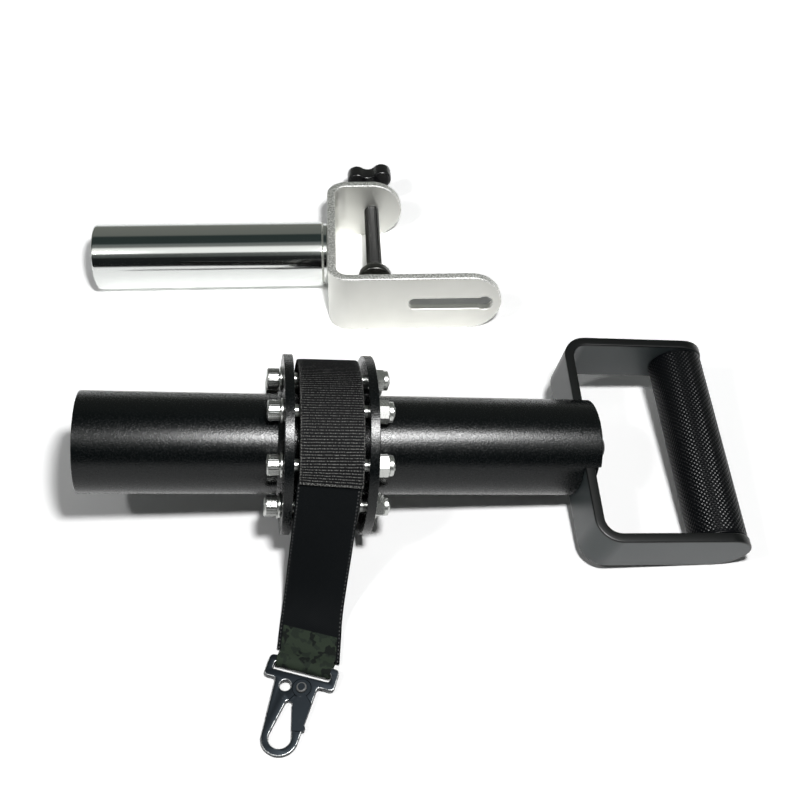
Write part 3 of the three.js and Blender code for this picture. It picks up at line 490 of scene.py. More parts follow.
nut_line = np.array([
    (nut_face, 3.1), (nut_face, 4.6), (nut_face + 0.25, 5.2), (nut_face + 0.5, 5.8), (nut_face + 0.7, 5.8),
    (nut_face + 4.8, 5.8), (nut_face + 5.0, 5.8), (nut_face + 5.25, 5.3), (nut_face + 5.4, 4.95),
    (nut_face + 5.5, 4.75), (nut_face + 5.7, 4.95), (nut_end + 0.6, 4.95), (nut_end + 1.0, 4.7), (nut_end + 1.2, 4.2),
    (nut_end + 1.1, 3.6), (nut_end + 0.6, 3.1),
])


def nut_shape(along, radius, angle):
    """The hexagon, cut back by the chamfers where their cone is smaller."""
    hexagon = (along > nut_face - 0.1) & (along < nut_face + 5.45) & (radius > 4)
    return np.where(hexagon, np.minimum(radius, 5.0 * sixsided(angle)), radius)


def ring_line(start, left, right, inner, outer, edge, hold=0.5):
    """Profile of a flat ring, closed on its inner side at start, with its corners softened."""
    return softened([(start, inner), (left, inner), (left, outer), (right, outer), (right, inner), (start, inner)],
                    edge, 3, hold)


washer_points = turned(ring_line(0.6, 0, washer_depth, 3.3, 6.0, 0.3, 0.1), 64)
washer_points[..., 0] -= outer_face + seat_gap + washer_depth
bolt_points = turned(bolt_line, 120, bolt_shape)
# Painted shade mask: 1 at the bottom of the head's grooves, 0 on their crests and elsewhere.
bolt_groove_shade = (head_radius - np.hypot(bolt_points[..., 1], bolt_points[..., 2])) / 0.12
bolt_groove_shade = np.clip(bolt_groove_shade, 0, 1) * ((bolt_line[:, 1:] > head_radius - 0.01) & (bolt_line[:, :1] < head_face))
for number in range(8):
    around = math.radians(12 + 45 * number)
    bolt_place = Place((0, bolt_circle * math.cos(around), bolt_circle * math.sin(around)),
                       spun("x", 37.0 * number), roller_place)
    bolt = shell(f"through_bolt_{number + 1}", bolt_points, bolt_place, bright_steel, "set",
                 marks={"groove": bolt_groove_shade})
    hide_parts(f"flange_bolt_{number + 1}")
    nut = shell(f"collar_nut_{number + 1}", turned(nut_line, 72, nut_shape), bolt_place, bright_steel,
                "set", wrap=(True, True), sharp=28)
    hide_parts(f"lock_nut_{number + 1}")
    washer = shell(f"head_washer_{number + 1}", washer_points, bolt_place, bright_steel, "set",
                   wrap=(True, True))
    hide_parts(f"bolt_washer_{number + 1}")


# Handle bracket
# One flat bar of 30 x 5 mm steel bent twice into a D, its ends rounded round the grip.
# It is coated slate grey, coloured near black along the edges.
def bent_plate(name, place, finish, span, width, thickness, bend, first_arm, second_arm, edge):
    """A flat bar on a bent line. Its outline is walked once round; from each point of it the skin runs over the
    rounded rim to the middle line on both faces, and the whole is then wrapped on to the bent line."""
    half, centre_bend = width / 2, bend + thickness / 2
    arm_a, arm_b = first_arm - thickness - bend, second_arm - thickness - bend
    base = span - 2 * (thickness + bend)
    quarter = centre_bend * math.pi / 2
    marks = np.cumsum([0, arm_a, quarter, base, quarter, arm_b])
    runs = [np.linspace(half, marks[1] - 0.4, 6), np.linspace(marks[1], marks[2], 17),
            np.linspace(marks[2] + 0.4, marks[3] - 0.4, 6), np.linspace(marks[3], marks[4], 17),
            np.linspace(marks[4] + 0.4, marks[5] - half, 6)]
    side = np.concatenate(runs)
    arc = np.linspace(0, np.pi, 41)[1:-1]
    outline = np.concatenate([
        np.stack([side, np.full(len(side), half)], 1),
        np.stack([side[-1] + half * np.sin(arc), half * np.cos(arc)], 1),
        np.stack([side[::-1], np.full(len(side), -half)], 1),
        np.stack([side[0] - half * np.sin(arc), -half * np.cos(arc)], 1),
    ])
    spine = np.stack([np.clip(outline[:, 0], half, marks[5] - half), np.zeros(len(outline))], 1)
    outward = (outline - spine) / half
    rim = np.linspace(0, np.pi / 2, 5)
    top = thickness / 2
    inset = np.concatenate([[edge + 0.8], edge * (1 - np.sin(rim)), [0.0], edge * (1 - np.cos(rim)), [edge + 0.8]])
    level = np.concatenate([[top], top - edge * (1 - np.cos(rim)), [0.0], -top + edge * (1 - np.sin(rim)), [-top]])
    ring = outline[None] - outward[None] * inset[:, None, None]
    ring = np.concatenate([spine[None], ring, spine[None]])
    level = np.concatenate([[top], level, [-top]])[:, None]
    s, across = ring[..., 0], ring[..., 1]
    turn_a = np.clip((s - marks[1]) / quarter, 0, 1) * np.pi / 2
    turn_b = np.clip((s - marks[3]) / quarter, 0, 1) * np.pi / 2
    heading = np.pi + turn_a + turn_b
    y_line = span / 2 - thickness / 2
    x = first_arm - np.minimum(s, marks[1]) - centre_bend * np.sin(turn_a)
    y = y_line - centre_bend * (1 - np.cos(turn_a)) - np.clip(s - marks[2], 0, base)
    x = x + centre_bend * (1 - np.cos(turn_b)) + np.maximum(s - marks[4], 0)
    y = y - centre_bend * np.sin(turn_b)
    x, y = x + np.sin(heading) * level, y - np.cos(heading) * level
    points = np.stack([x, y, across], -1)
    # 1 over the rounded rims and side faces: the clamp's finish paints a highlight there, the handle's a near-black
    #                                         tone.
    on_edge = np.concatenate([[0, 0], np.ones(2 * len(rim) + 1), [0, 0]])[:, None] * np.ones(len(outline))
    return shell(name, points, place, finish, "set", marks={"rim": on_edge})


slate_coat = Finish("slate_coat", Specular_IOR_Level=0.35)
slate_grain = slate_coat.grain(0.5, 3.0, 0.6)
slate_tone = slate_coat.mixed(slate_coat.grain(30.0, 2.0), (0.020, 0.026, 0.027), (0.030, 0.037, 0.038))
# Where the rim mark is 1, along the edges, the colour is near black.
slate_coat.colour(slate_coat.mark("rim"), slate_tone, (0.0015, 0.002, 0.002))
slate_coat.feed("Roughness", 0.30 + slate_grain * 0.12)
slate_coat.relief(slate_grain, 0.03)
handle_place = Place((128.8, 0, 0), spun("x", slot_turn), roller_place)
handle_bracket = bent_plate("handle_bow", handle_place, slate_coat, 120, 30, 5, 8, 84, 84, 0.7)
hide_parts("handle_bracket")

# Grip
# A 29 mm round bar between the bracket's arms, knurled in small diamonds and blackened, with plain chamfers.
knurl_step, grip_radius, grip_reach = 0.6, 14.5, 54.7
grip_rows, grip_columns = 180, 152
i, j = np.meshgrid(np.arange(grip_rows + 1), np.arange(grip_columns), indexing="ij")
to_crest = np.maximum(np.abs((i + j + 2) % 4 - 2), np.abs((i - j + 2) % 4 - 2)) / 2
fade = np.clip(np.minimum(i, grip_rows - i) / 2.0, 0, 1)
grip_height = grip_radius - 0.34 * to_crest * fade - 0.10 * (1 - fade)
row_along = (np.arange(grip_rows + 1) - grip_rows / 2) * knurl_step
column_angle = np.arange(grip_columns) * 2 * np.pi / grip_columns
grip_middle = np.stack([row_along[:, None] + 0 * grip_height, grip_height * np.cos(column_angle),
                        grip_height * np.sin(column_angle)], -1)
end_line = np.array([(54.15, 14.35), (grip_reach - 0.2, 14.0), (grip_reach, 13.7), (grip_reach, 0)])
right_cap, left_cap = turned(end_line, grip_columns), turned(end_line[::-1] * [-1, 1], grip_columns)
grip_points = np.concatenate([left_cap, grip_middle, right_cap])
grip_place = Place((69, 0, 0), spun("z", 90), handle_place)
knurl_black = Finish("knurled_black", Specular_IOR_Level=0.14)
knurl_grain = knurl_black.grain(0.8, 2.0)
knurl_black.colour(knurl_grain, (0.0006, 0.0009, 0.0013), (0.0022, 0.0026, 0.0034))
knurl_black.feed("Roughness", 0.24 + knurl_grain * 0.16)
grip = shell("knurled_grip", grip_points, grip_place, knurl_black, "set", sharp=20)
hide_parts("grip_bar")

# End pieces
# A disc closes the tube over the handle's bar, and a button-head screw with a thick washer holds them.
disc_points = turned(ring_line(135, 134.1, 137, 5.3, 21.7, 0.4), 128)
end_disc = shell("tube_end_disc", disc_points, roller_place, black_coat, "set", wrap=(True, True))
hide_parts("end_disc")
black_screw = steel("blackened_screw", (0.055, 0.055, 0.058), 0.30, depth=0.003)
ring_points = turned(ring_line(138, 137.3, 139.3, 5.3, 10.5, 0.4), 96)
end_washer = shell("thick_washer", ring_points, roller_place, black_screw, "set", wrap=(True, True))
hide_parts("handle_washer")
dome = np.linspace(0, np.pi / 3, 10)
dome_line = [(139.6 + 6 * math.sin(a) / math.sin(math.pi / 3), 8.9 * math.cos(a)) for a in dome]
button_line = np.array([(108.5, 0), (108.5, 4.6), (109.1, 5), (139.0, 5), (139.6, 5), (139.6, 8.7)] + dome_line
                       + [(145.6, 3.3), (145.3, 3.05), (142.6, 3.0), (142.6, 0)])


def key_shape(along, radius, angle):
    """Hexagon in the key of the button head."""
    return np.where((along > 142.5) & (radius < 3.2) & (radius > 2.9), radius * sixsided(angle), radius)


button = shell("button_screw", turned(button_line, 96, key_shape), roller_place, black_screw, "set")
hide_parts("handle_screw")


# Drum webbing
# 30 mm black webbing with raised cross ribs, looped round one bolt and wound two and a half turns,
# its frayed end lapped over the strap.
def eased(share):
    s = np.clip(share, 0, 1)
    return s * s * (3 - 2 * s)


def mapped(finish):
    """Webbing's own map in millimetres: how far a point is along it, and how far across."""
    run = finish.node("ShaderNodeSeparateXYZ", {}, finish.places(uv=True))
    return run, run.beside("Y")


def woven(run, side):
    """A plain weave with a thread each 0.9 mm: the product of a sine along and a sine across, from 0 to 1."""
    thread = 2 * math.pi / 0.9
    return ((run * thread).wave() * (side * thread).wave()) * 0.5 + 0.5


def band(path, across, width, thickness, ribs=None, end_slant=0.0):
    """A flat band on a path. Its section is a closed line of points round the band, set out from the path along
    the width direction and the outward one; the width may slant, and its true size is kept. end_slant sets
    the last section askew, by that share of the distance from the middle line."""
    along = np.gradient(path, axis=0)
    along /= np.linalg.norm(along, axis=1, keepdims=True)
    across = across / np.linalg.norm(across, axis=1, keepdims=True)
    outward = np.cross(across, along)
    square = np.linalg.norm(outward, axis=1, keepdims=True)
    across, outward = across / square, outward / square
    length = np.concatenate([[0], np.cumsum(np.linalg.norm(np.diff(path, axis=0), axis=1))])
    round_edge = np.linspace(-np.pi / 2, np.pi / 2, 7)
    half, deep = width / 2, thickness / 2
    flat = np.linspace(-1, 1, 15)[1:-1] * (half - deep)
    w = np.concatenate([flat, half - deep + deep * np.cos(round_edge), flat[::-1],
                        -half + deep - deep * np.cos(round_edge)])
    t = np.concatenate([np.full(len(flat), -deep), deep * np.sin(round_edge), np.full(len(flat), deep),
                        -deep * np.sin(round_edge)])
    lift = np.zeros((len(path), len(w))) if ribs is None else ribs(length[:, None], w[None, :]) * np.sign(t)
    lift = lift * np.clip(np.minimum(length, length[-1] - length) / 0.6, 0, 1)[:, None]
    askew = end_slant * eased((length - length[-1] + 12) / 12)[:, None] * w[None]
    points = (path[:, None] + across[:, None] * w[None, :, None] + along[:, None] * askew[..., None]
              + outward[:, None] * (t[None, :, None] + lift[..., None]))
    closed = np.concatenate([path[:1, None].repeat(len(w), 1), points, path[-1:, None].repeat(len(w), 1)])
    length = np.concatenate([length[:1], length, length[-1:]])
    flat_map = np.stack([np.repeat(length[:, None], len(w), 1), np.repeat(w[None], len(length), 0)], -1)
    return closed, flat_map, length[-1]


webbing_width, webbing_depth, half_webbing, layer_step, anchor = 30, 1.45, 0.75, 1.95, -33


def winding_radius(angle):
    """Radius of the webbing's middle: it grows by one thickness and gap each turn."""
    return bolt_circle + bolt_radius + seat_gap + half_webbing + layer_step * ((angle - anchor) / 360 + 2)


def on_drum(angle, radius):
    a = np.radians(angle)
    return np.stack([0 * a, radius * np.cos(a), radius * np.sin(a)], -1)


loop_angle = np.linspace(anchor - 285, anchor, 60)[:-1]
anchor_loop = on_drum(loop_angle, np.full(len(loop_angle), 4.05)) + on_drum(np.array([anchor]), np.array([bolt_circle]))
wound = np.linspace(anchor - 720, 155.5, 2300)
climb = layer_step * eased((wound - 125 + 25) / 25)
webbing_path = np.concatenate([anchor_loop, on_drum(wound, winding_radius(wound) + climb)])

rib_pitch = 1.4


def cross_ribs(length, w):
    """Rounded ribs across the width, 1.4 mm apart, fading at the woven edges."""
    return 0.10 * np.sin(length * 2 * np.pi / rib_pitch) * np.clip((14.2 - np.abs(w)) / 1.0, 0, 1)


webbing_points, webbing_map, webbing_length = band(webbing_path, np.tile([[1.0, 0, 0]], (len(webbing_path), 1)),
                                                   webbing_width, webbing_depth, cross_ribs, 0.07)
ribbed = Finish("ribbed_webbing", Roughness=0.72, Specular_IOR_Level=0.10)
run_mm, side_mm = mapped(ribbed)
wander = ribbed.grain(5.0, 2.0, uv=True) * 0.5
rib_wave = ((run_mm + wander) * (2 * math.pi / rib_pitch)).wave() * 0.5 + 0.5
thread_wave = (side_mm * (2 * math.pi / 0.7)).wave() * 0.5 + 0.5
thread_noise = ribbed.grain(0.7, 3.0, uv=True)
# Painted sheen: the crest of each rib is lightened, broken up along the threads and by noise.
crest_sheen = (rib_wave ** 7.0) * (0.35 + thread_wave * 0.65) * thread_noise.between(0.38, 0.62)
edge_threads = (abs(side_mm) > 14.3) * thread_noise.between(0.45, 0.6) * 0.5
frayed = (run_mm > webbing_length - 0.7) * thread_noise.between(0.40, 0.62) * 0.6
# The light threads at the woven edges and the frayed end, with the painted sheen on the rib crests.
threads_and_crest_sheen = crest_sheen.most(edge_threads).most(frayed)
ribbed.colour(threads_and_crest_sheen, (0.0018, 0.0020, 0.0024), (0.22, 0.22, 0.21))
ribbed.relief(thread_wave * 0.5 + thread_noise * 0.5, 0.10)
drum_webbing = shell("ribbed_webbing_wrap", webbing_points, roller_place, ribbed, "set",
                     flat_map=webbing_map, sharp=60)
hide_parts("drum_webbing")

# Pull strap
# Smooth black webbing of the same width, sewn under the ribbed end. It stands off the drum, eases down
# and lies flat in the camouflage loop; light stitches run along both edges.
bar_x, bar_y, bar_turn, strap_heading = -15.1, -97.3, -19.8, math.radians(-6.5)
bar_angle, frame_reach = math.radians(bar_turn), 5.5


def from_bar(back, height):
    """Points so far back from the hook's bar, at a height above the bench: square to the bar as far as the
    hook's frame reaches, then along the strap's heading."""
    back, height = np.broadcast_arrays(np.array(back, float), np.array(height, float))
    square = np.minimum(back, frame_reach)
    slanted = back - square
    return np.stack([bar_x - square * math.sin(bar_angle) - slanted * math.sin(strap_heading),
                     bar_y + square * math.cos(bar_angle) + slanted * math.cos(strap_heading), height], -1)


drum_angle = np.linspace(125, 158, 70)
strap_on_drum = on_drum(drum_angle, winding_radius(drum_angle))
strap_on_drum[:, 0] -= 0.9 * np.clip((drum_angle - 140) / 18, 0, 1) ** 2
strap_on_drum = strap_on_drum @ spun("y", roller_tilt).T + [0, 0, roller_height]
leave_heading = strap_on_drum[-1] - strap_on_drum[-2]
leave_heading /= np.linalg.norm(leave_heading)
leave_heading[0] = leave_heading[1] * math.tan(math.radians(20))
loop_depth, loop_leg = 1.15, 17.5
sewn_height, strap_laid = 0.2 + 1.2 + seat_gap + half_webbing, loop_leg + 1.5
knots = np.stack([strap_on_drum[-1], strap_on_drum[-1] + leave_heading * 28, from_bar(strap_laid + 22, sewn_height),
                  from_bar(strap_laid, sewn_height)])
s = np.linspace(0, 1, 121)[1:, None]
fall = (1 - s) ** 3 * knots[0] + 3 * s * (1 - s) ** 2 * knots[1] + 3 * s ** 2 * (1 - s) * knots[2] + s ** 3 * knots[3]
strap_path = np.concatenate([strap_on_drum, fall, from_bar(np.linspace(strap_laid, frame_reach, 30)[1:], sewn_height)])
drum_axis, bar_axis = spun("y", roller_tilt) @ [1, 0, 0], np.array([math.cos(bar_angle), math.sin(bar_angle), 0])
turning = eased((np.arange(len(strap_path)) - len(strap_on_drum) + 1) / len(fall))[:, None]
strap_points, strap_map, strap_length = band(strap_path, drum_axis * (1 - turning) + bar_axis * turning,
                                             webbing_width, webbing_depth)
smooth = Finish("smooth_webbing", Specular_IOR_Level=0.07)
smooth_run, smooth_side = mapped(smooth)
weave = woven(smooth_run, smooth_side)
stitch = (abs(abs(smooth_side) - 14.1) < 0.32) * ((smooth_run * (2 * math.pi / 2.0)).wave() > 0.1)
smooth_noise = smooth.grain(0.6, 2.0, uv=True)
smooth_cloud = smooth.grain(9.0, 2.0, uv=True)
plain_tone = smooth.mixed(weave * smooth_noise, (0.0003, 0.0008, 0.0012), (0.0045, 0.0060, 0.0070))
smooth.colour(stitch * smooth_noise.between(0.3, 0.6), plain_tone, (0.06, 0.06, 0.06))
smooth.feed("Roughness", 0.70 + smooth_cloud * 0.15)
smooth.relief(weave * 0.7 + smooth_noise * 0.3 + stitch * 0.5, 0.10)
pull_strap = shell("pull_strap_tail", strap_points, on_bench, smooth, "set", flat_map=strap_map,
                   sharp=60)
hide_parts("pull_strap")

# Camouflage loop
# A short piece of printed webbing goes round the hook's bar and is sewn to both sides of the strap.
half_loop, hook_bar_height, leg_end = 0.6, 3.5509, 8
loop_radius = 2.1509 + half_loop
top_leg = sewn_height + half_webbing + seat_gap + half_loop
shoulder = np.linspace(0, 1, 13)
upper = from_bar(np.linspace(loop_leg, leg_end, 24)[:-1], top_leg)
over = from_bar(leg_end * (1 - shoulder), top_leg + (hook_bar_height + loop_radius - top_leg) * eased(shoulder))
round_bar = np.pi / 2 - np.pi * np.linspace(0, 1, 25)[1:]
nose = from_bar(-loop_radius * np.cos(round_bar), hook_bar_height + loop_radius * np.sin(round_bar))
under = from_bar(np.linspace(0, loop_leg, 40)[1:], hook_bar_height - loop_radius)
loop_path = np.concatenate([upper, over, nose, under])
loop_points, loop_map, loop_length = band(loop_path, np.tile(bar_axis, (len(loop_path), 1)), 26.4, loop_depth)
camo = Finish("camouflage_webbing", Roughness=0.85, Specular_IOR_Level=0.07)
camo_weave = woven(*mapped(camo))
blotch = camo.grain(7.0, 2.0, 0.55, uv=True)
second_blotch = camo.grain(5.0, 2.0, 0.5, uv=True, turned=(0, 0, 1.1))
olive = camo.mixed(second_blotch.between(0.50, 0.54), (0.018, 0.026, 0.017), (0.011, 0.016, 0.012))
camo_tone = camo.mixed(blotch.between(0.42, 0.44), (0.0020, 0.0030, 0.0032), olive)
camo.colour(camo_weave * 0.22, camo_tone, (0.045, 0.055, 0.042))
camo.relief(camo_weave, 0.12)
camo_loop = shell("camouflage_loop", loop_points, on_bench, camo, "set", flat_map=loop_map, sharp=60)
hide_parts("camo_loop")


# Snap hook
# Stamped steel plate with a slot for the webbing, a teardrop eye and a small round hole, parkerized dark,
# with bare silver showing along the worn edges.
hook_droop = math.degrees(math.asin((hook_bar_height - 0.1 - 1.2) / 43.8))
hook_place = Place((bar_x, bar_y, hook_bar_height), spun("z", bar_turn) @ spun("x", hook_droop), on_bench)


def arc_points(centre, radius, start, end, steps):
    """Points on a circle from one angle to another, in degrees."""
    a = np.radians(np.linspace(start, end, steps))
    return np.stack([centre[0] + radius * np.cos(a), centre[1] + radius * np.sin(a)], -1)


def corner_arc(corner, before, after, radius, steps=8):
    """The rounded corner of an outline: points from one side to the other."""
    return softened([before, corner, after], radius, steps, 0.0)[2:-2]


def final_mesh(made):
    """The mesh of an object once its curve or its cuts are worked out."""
    return bpy.data.meshes.new_from_object(made.evaluated_get(bpy.context.evaluated_depsgraph_get()))


def cut_plate(name, outlines, low, high, bevel, place):
    """A flat plate with holes as a mesh: the first outline is its edge and the rest are holes, drawn in its
    frame, filled and given thickness with a rounded edge by a flat curve."""
    curve = bpy.data.curves.new(name, "CURVE")
    curve.dimensions, curve.fill_mode = "2D", "BOTH"
    curve.extrude, curve.bevel_depth, curve.bevel_resolution = (high - low) / 2 - bevel, bevel, 2
    curve.offset = -bevel
    for outline in outlines:
        spline = curve.splines.new("POLY")
        spline.points.add(len(outline) - 1)
        flat = np.concatenate([outline, np.zeros((len(outline), 1)), np.ones((len(outline), 1))], 1)
        spline.points.foreach_set("co", flat.astype(np.float32).ravel())
        spline.use_cyclic_u = True
    drawn = add_object(name, curve)
    mesh = final_mesh(drawn)
    bpy.data.objects.remove(drawn)
    spots = np.empty(len(mesh.vertices) * 3, np.float32)
    mesh.vertices.foreach_get("co", spots)
    spots = spots.reshape(-1, 3).astype(float) + [0, 0, (high + low) / 2]
    mesh.vertices.foreach_set("co", place.world(spots).astype(np.float32).ravel())
    return merged(mesh, thin_edges=False)


def carved(mesh, *tools):
    """The mesh less each tool's mesh, by exact cuts."""
    blank, cutters = add_object("blank", mesh), [add_object("cutter", tool) for tool in tools]
    for cutter in cutters:
        cut = blank.modifiers.new("cut", "BOOLEAN")
        cut.operation, cut.solver, cut.object = "DIFFERENCE", "EXACT", cutter
    result = final_mesh(blank)
    for spare in [blank, *cutters]:
        bpy.data.objects.remove(spare)
    return result


pivot, nose_centre, nose_radius = (2.4, -11.2), (0, -35.4), 8.4
outline = np.concatenate([
    corner_arc((16.9, 1.5), (0, 1.5), (16.9, -4), 5), corner_arc((16.9, -9.1), (16.9, 0), (12, -9.1), 5),
    corner_arc((9.336, -9.1), (14, -9.1), (8.9, -20), 1.6),
    arc_points(nose_centre, nose_radius, 0, -180, 40),
    corner_arc((-11.02, -9.1), (-9.6, -22), (-14, -9.1), 1.6),
    corner_arc((-16.9, -9.1), (-12, -9.1), (-16.9, 0), 5), corner_arc((-16.9, 1.5), (-16.9, -4), (0, 1.5), 5),
])
slot_corners = [(13.75, -1.5), (13.75, -5.5), (-13.75, -5.5), (-13.75, -1.5)]
corners_before, corners_after = slot_corners[-1:] + slot_corners[:-1], slot_corners[1:] + slot_corners[:1]
strap_slot = np.concatenate([corner_arc(corner, before, after, 1.2, 5) for corner, before, after in
                             zip(slot_corners, corners_before, corners_after)])
eye_top, eye_away = (-1.1, -19.8), 35.4 - 19.8
eye_lean = math.degrees(math.atan2(1.1, eye_away))
eye_slope = math.degrees(math.asin(3.5 / math.hypot(eye_away, 1.1)))
eye = np.concatenate([arc_points(eye_top, 1.7, eye_slope + eye_lean, 180 - eye_slope + eye_lean, 20),
                      arc_points(nose_centre, 5.2, 180 - eye_slope + eye_lean, 360 + eye_slope + eye_lean, 40)])
small_hole = arc_points((-5.3, -11.8), 2.7, 0, 360, 41)[:-1]


def sector(inner, outer, start, end):
    """Outline of a part of a ring about the hook's pivot; angles from the nose towards the right."""
    return np.concatenate([arc_points(pivot, outer, start - 90, end - 90, 30),
                           arc_points(pivot, inner, end - 90, start - 90, 30) if inner else np.array([pivot])])


gunmetal = Finish("parkerized_steel", Metallic=0.85)
wear_noise = gunmetal.grain(1.4, 4.0, 0.7)
rub = gunmetal.grain(5.0, 3.0, 0.6)
rubbed = rub.between(0.60, 0.75) * wear_noise.between(0.5, 0.7) * 0.35
bare = gunmetal.mark("edge") * wear_noise.between(0.36, 0.55) + rubbed
gunmetal.colour(bare, (0.012, 0.016, 0.020), (0.50, 0.51, 0.51))
gunmetal.feed("Roughness", 0.42 - bare * 0.12 + wear_noise * 0.10)
gunmetal.relief(wear_noise, 0.006)

# Room for the gate, a shallow pocket for its hub, and the rivet's hole are cut into the plate.
hook_cuts = [
    ("gate_room", sector(8.0, 20.4, -11, 48), -3), ("heel_room", sector(8.0, 10.8, -24, -9), -3),
    ("pocket", sector(0, 8.6, -31, 48), -0.156), ("pocket_round", arc_points(pivot, 4.5, 0, 360, 49)[:-1], -0.156),
    ("rivet_hole", arc_points(pivot, 1.6, 0, 360, 33)[:-1], -3),
]
hook_blank = cut_plate("snap_hook_plate", [outline, strap_slot, eye, small_hole], -1.2, 1.2, 0.3, hook_place)
hook_mesh = carved(hook_blank, *[cut_plate(name, [line], floor, 3, 0, hook_place) for name, line, floor in hook_cuts])
# The finish wears where a face leans between the plate's flat side and its rim.
normals = np.empty(len(hook_mesh.polygons) * 3, np.float32)
hook_mesh.polygons.foreach_get("normal", normals)
lean = np.abs(normals.reshape(-1, 3) @ hook_place.axes[:, 2])
on_edge = ((lean > 0.25) & (lean < 0.97)).astype(np.float32)
hook_mesh.attributes.new("edge", "FLOAT", "FACE").data.foreach_set("value", on_edge)
snap_hook = dressed("snap_hook_plate", hook_mesh, gunmetal, "hook", 30)
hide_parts("hook_body")


# Gate, rivet and spring
# The gate is a stamped lever that turns on a steel rivet, with a wire spring hidden under it. These three
# are the CAD's own solids.
def keep_node(name, finish):
    """Gives a solid that stays as it is its finish."""
    for material_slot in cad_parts[name].material_slots:
        material_slot.material = finish.owner


keep_node("hook_gate", gunmetal)
keep_node("gate_rivet", steel("rivet_steel", (0.20, 0.20, 0.20), 0.35))
keep_node("gate_spring", steel("spring_wire", (0.55, 0.55, 0.53), 0.3))

# Clamp bracket
# One strip of 5 mm stainless plate bent into a clamp, with round ends, a slot with a wider end in the long arm,
# blasted to a warm satin; its rounded edges carry a painted highlight.
clamp_place = Place((9, 182.6, 20.5), spun("z", -2.4), on_bench)
satin = Finish("blasted_satin", Metallic=1.0)
satin_grain, satin_rim = satin.grain(0.35, 3.0, 0.6), satin.mark("rim")
satin_tone = satin.mixed(satin.grain(25.0, 2.0), (0.56, 0.56, 0.53), (0.65, 0.65, 0.62))
# Painted highlight: along the rounded edges the steel is lightened, in streaks of noise.
rim_highlight_tone = satin.mixed(satin.grain(0.9, 4.0, 0.7).between(0.40, 0.60), (0.45, 0.45, 0.43), (0.95, 0.95, 0.93))
satin.colour(satin_rim, satin_tone, rim_highlight_tone)
satin.feed("Roughness", 0.40 + satin_grain * 0.10 + satin_rim * 0.12)
satin.relief(satin_grain, 0.010)
clamp_bracket = bent_plate("clamp_plate", clamp_place, satin, 100, 41, 5, 8, 50, 107, 0.6)
slot_from, slot_to, slot_middle = 53.3, 96.35, 75
slot_line = np.concatenate([arc_points((slot_from, 0), 4.1, 90, 270, 24),
                            arc_points((slot_to, 0), 5.15, -127.24, 127.24, 40)])
middle = np.stack([np.clip(slot_line[:, 0], slot_from, slot_to), 0 * slot_line[:, 0]], 1)
away = slot_line - middle
away /= np.linalg.norm(away, axis=1, keepdims=True)
cut_rows = [(-6, 0.55), (-2.5, 0.45), (-2.1, 0.0), (2.1, 0.0), (2.5, 0.45), (6, 0.55)]
tool = np.stack([np.concatenate([slot_line + away * grow, np.full((len(slot_line), 1), level)], 1)
                 for level, grow in cut_rows])
tool = np.concatenate([tool[:1] * 0 + [slot_middle, 0, -6], tool, tool[:1] * 0 + [slot_middle, 0, 6]])
arm_place = Place((0, -47.5, 0), spun("x", 90), clamp_place)
slot_tool = shell("slot_tool", tool, arm_place, satin, "set")
clamp_bracket.data = carved(clamp_bracket.data.copy(), slot_tool.data.copy())
clamp_bracket.data.shade_smooth()
clamp_bracket.data.set_sharp_from_angle(angle=math.radians(35))
bpy.data.objects.remove(slot_tool)
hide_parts("clamp_bracket")

# Spindle
# A 41 mm stainless tube, polished, welded to the clamp at a small groove, with a plastic cap in its far end.
polished = Finish("polished_stainless", Metallic=1.0)
ring_scratch = polished.grain(0.25, 2.0, 0.6, scale=(1.0, 0.02, 0.02))
polished.colour(polished.grain(40.0, 2.0), (0.66, 0.675, 0.66), (0.73, 0.745, 0.73))
polished.feed("Roughness", 0.065 + ring_scratch * 0.06)
polished.relief(ring_scratch, 0.0012)
spindle_line = softened([(-60, 17), (-146.5, 17), (-146.5, 20.5), (-3.7, 20.5), (-2.5, 19.3), (-0.3, 19.3), (-0.3, 17),
                         (-60, 17)], [0.5, 1.2, 0.4, 0.3, 0.3, 0.3], 5, 1.0)
spindle = shell("spindle_tube", turned(spindle_line, 256), clamp_place, polished, "set",
                wrap=(True, True))
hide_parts("spindle")
black_plastic = Finish("moulded_black")
plastic_grain = black_plastic.grain(0.9, 3.0)
black_plastic.colour(plastic_grain, (0.004, 0.004, 0.0045), (0.009, 0.009, 0.010))
black_plastic.feed("Roughness", 0.18 + plastic_grain * 0.14)
black_plastic.relief(plastic_grain, 0.010)
keep_node("spindle_cap", black_plastic)
nylon = Finish("turned_nylon", Roughness=0.5)
nylon_rings = nylon.grain(0.4, 2.0)
nylon.colour(nylon_rings, (0.62, 0.59, 0.50), (0.70, 0.67, 0.58))
nylon.relief(nylon_rings, 0.02)
keep_node("outer_bushing", nylon)
keep_node("inner_bushing", nylon)
keep_node("end_plug", steel("plug_steel", (0.45, 0.45, 0.44), 0.4))

# Clamp screw
# An M10 screw threaded all along through the far arm, with a turned ball on its end for the swivel pad.
screw_place = Place((29.5, -28, 0), spun("z", 90), clamp_place)
ball_start, neck_end = 6.0, 11.2
screw_radius, thread_depth, thread_pitch, thread_from, thread_to = 5.0, 0.85, 1.5, 12.7, 106.7
ball_angle = np.linspace(np.pi, math.asin(0.8), 16)
ball_line = np.stack([ball_start + 4 * np.cos(ball_angle), 4 * np.sin(ball_angle)], 1)
ball_line[0, 1] = 0
threads = np.arange(12.8, 106.6, 0.25)
crests = np.stack([threads, np.full(len(threads), screw_radius)], 1)
screw_line = np.concatenate([ball_line, [(neck_end - 0.4, 3.2), (neck_end, 3.2), (12.6, 4.6)], crests,
                             [(107, 4.4), (107, 0)]])


def thread_shape(along, radius, angle):
    """A 1.5 mm thread: the radius falls to its root and rises again once a pitch, one pitch on per turn."""
    turns = (along / thread_pitch - angle / (2 * np.pi)) % 1.0
    groove = np.clip(1.25 - 2.5 * np.abs(turns - 0.5), 0, 1)
    return np.where((radius > 4.95) & (along > thread_from), radius - thread_depth * groove, radius)
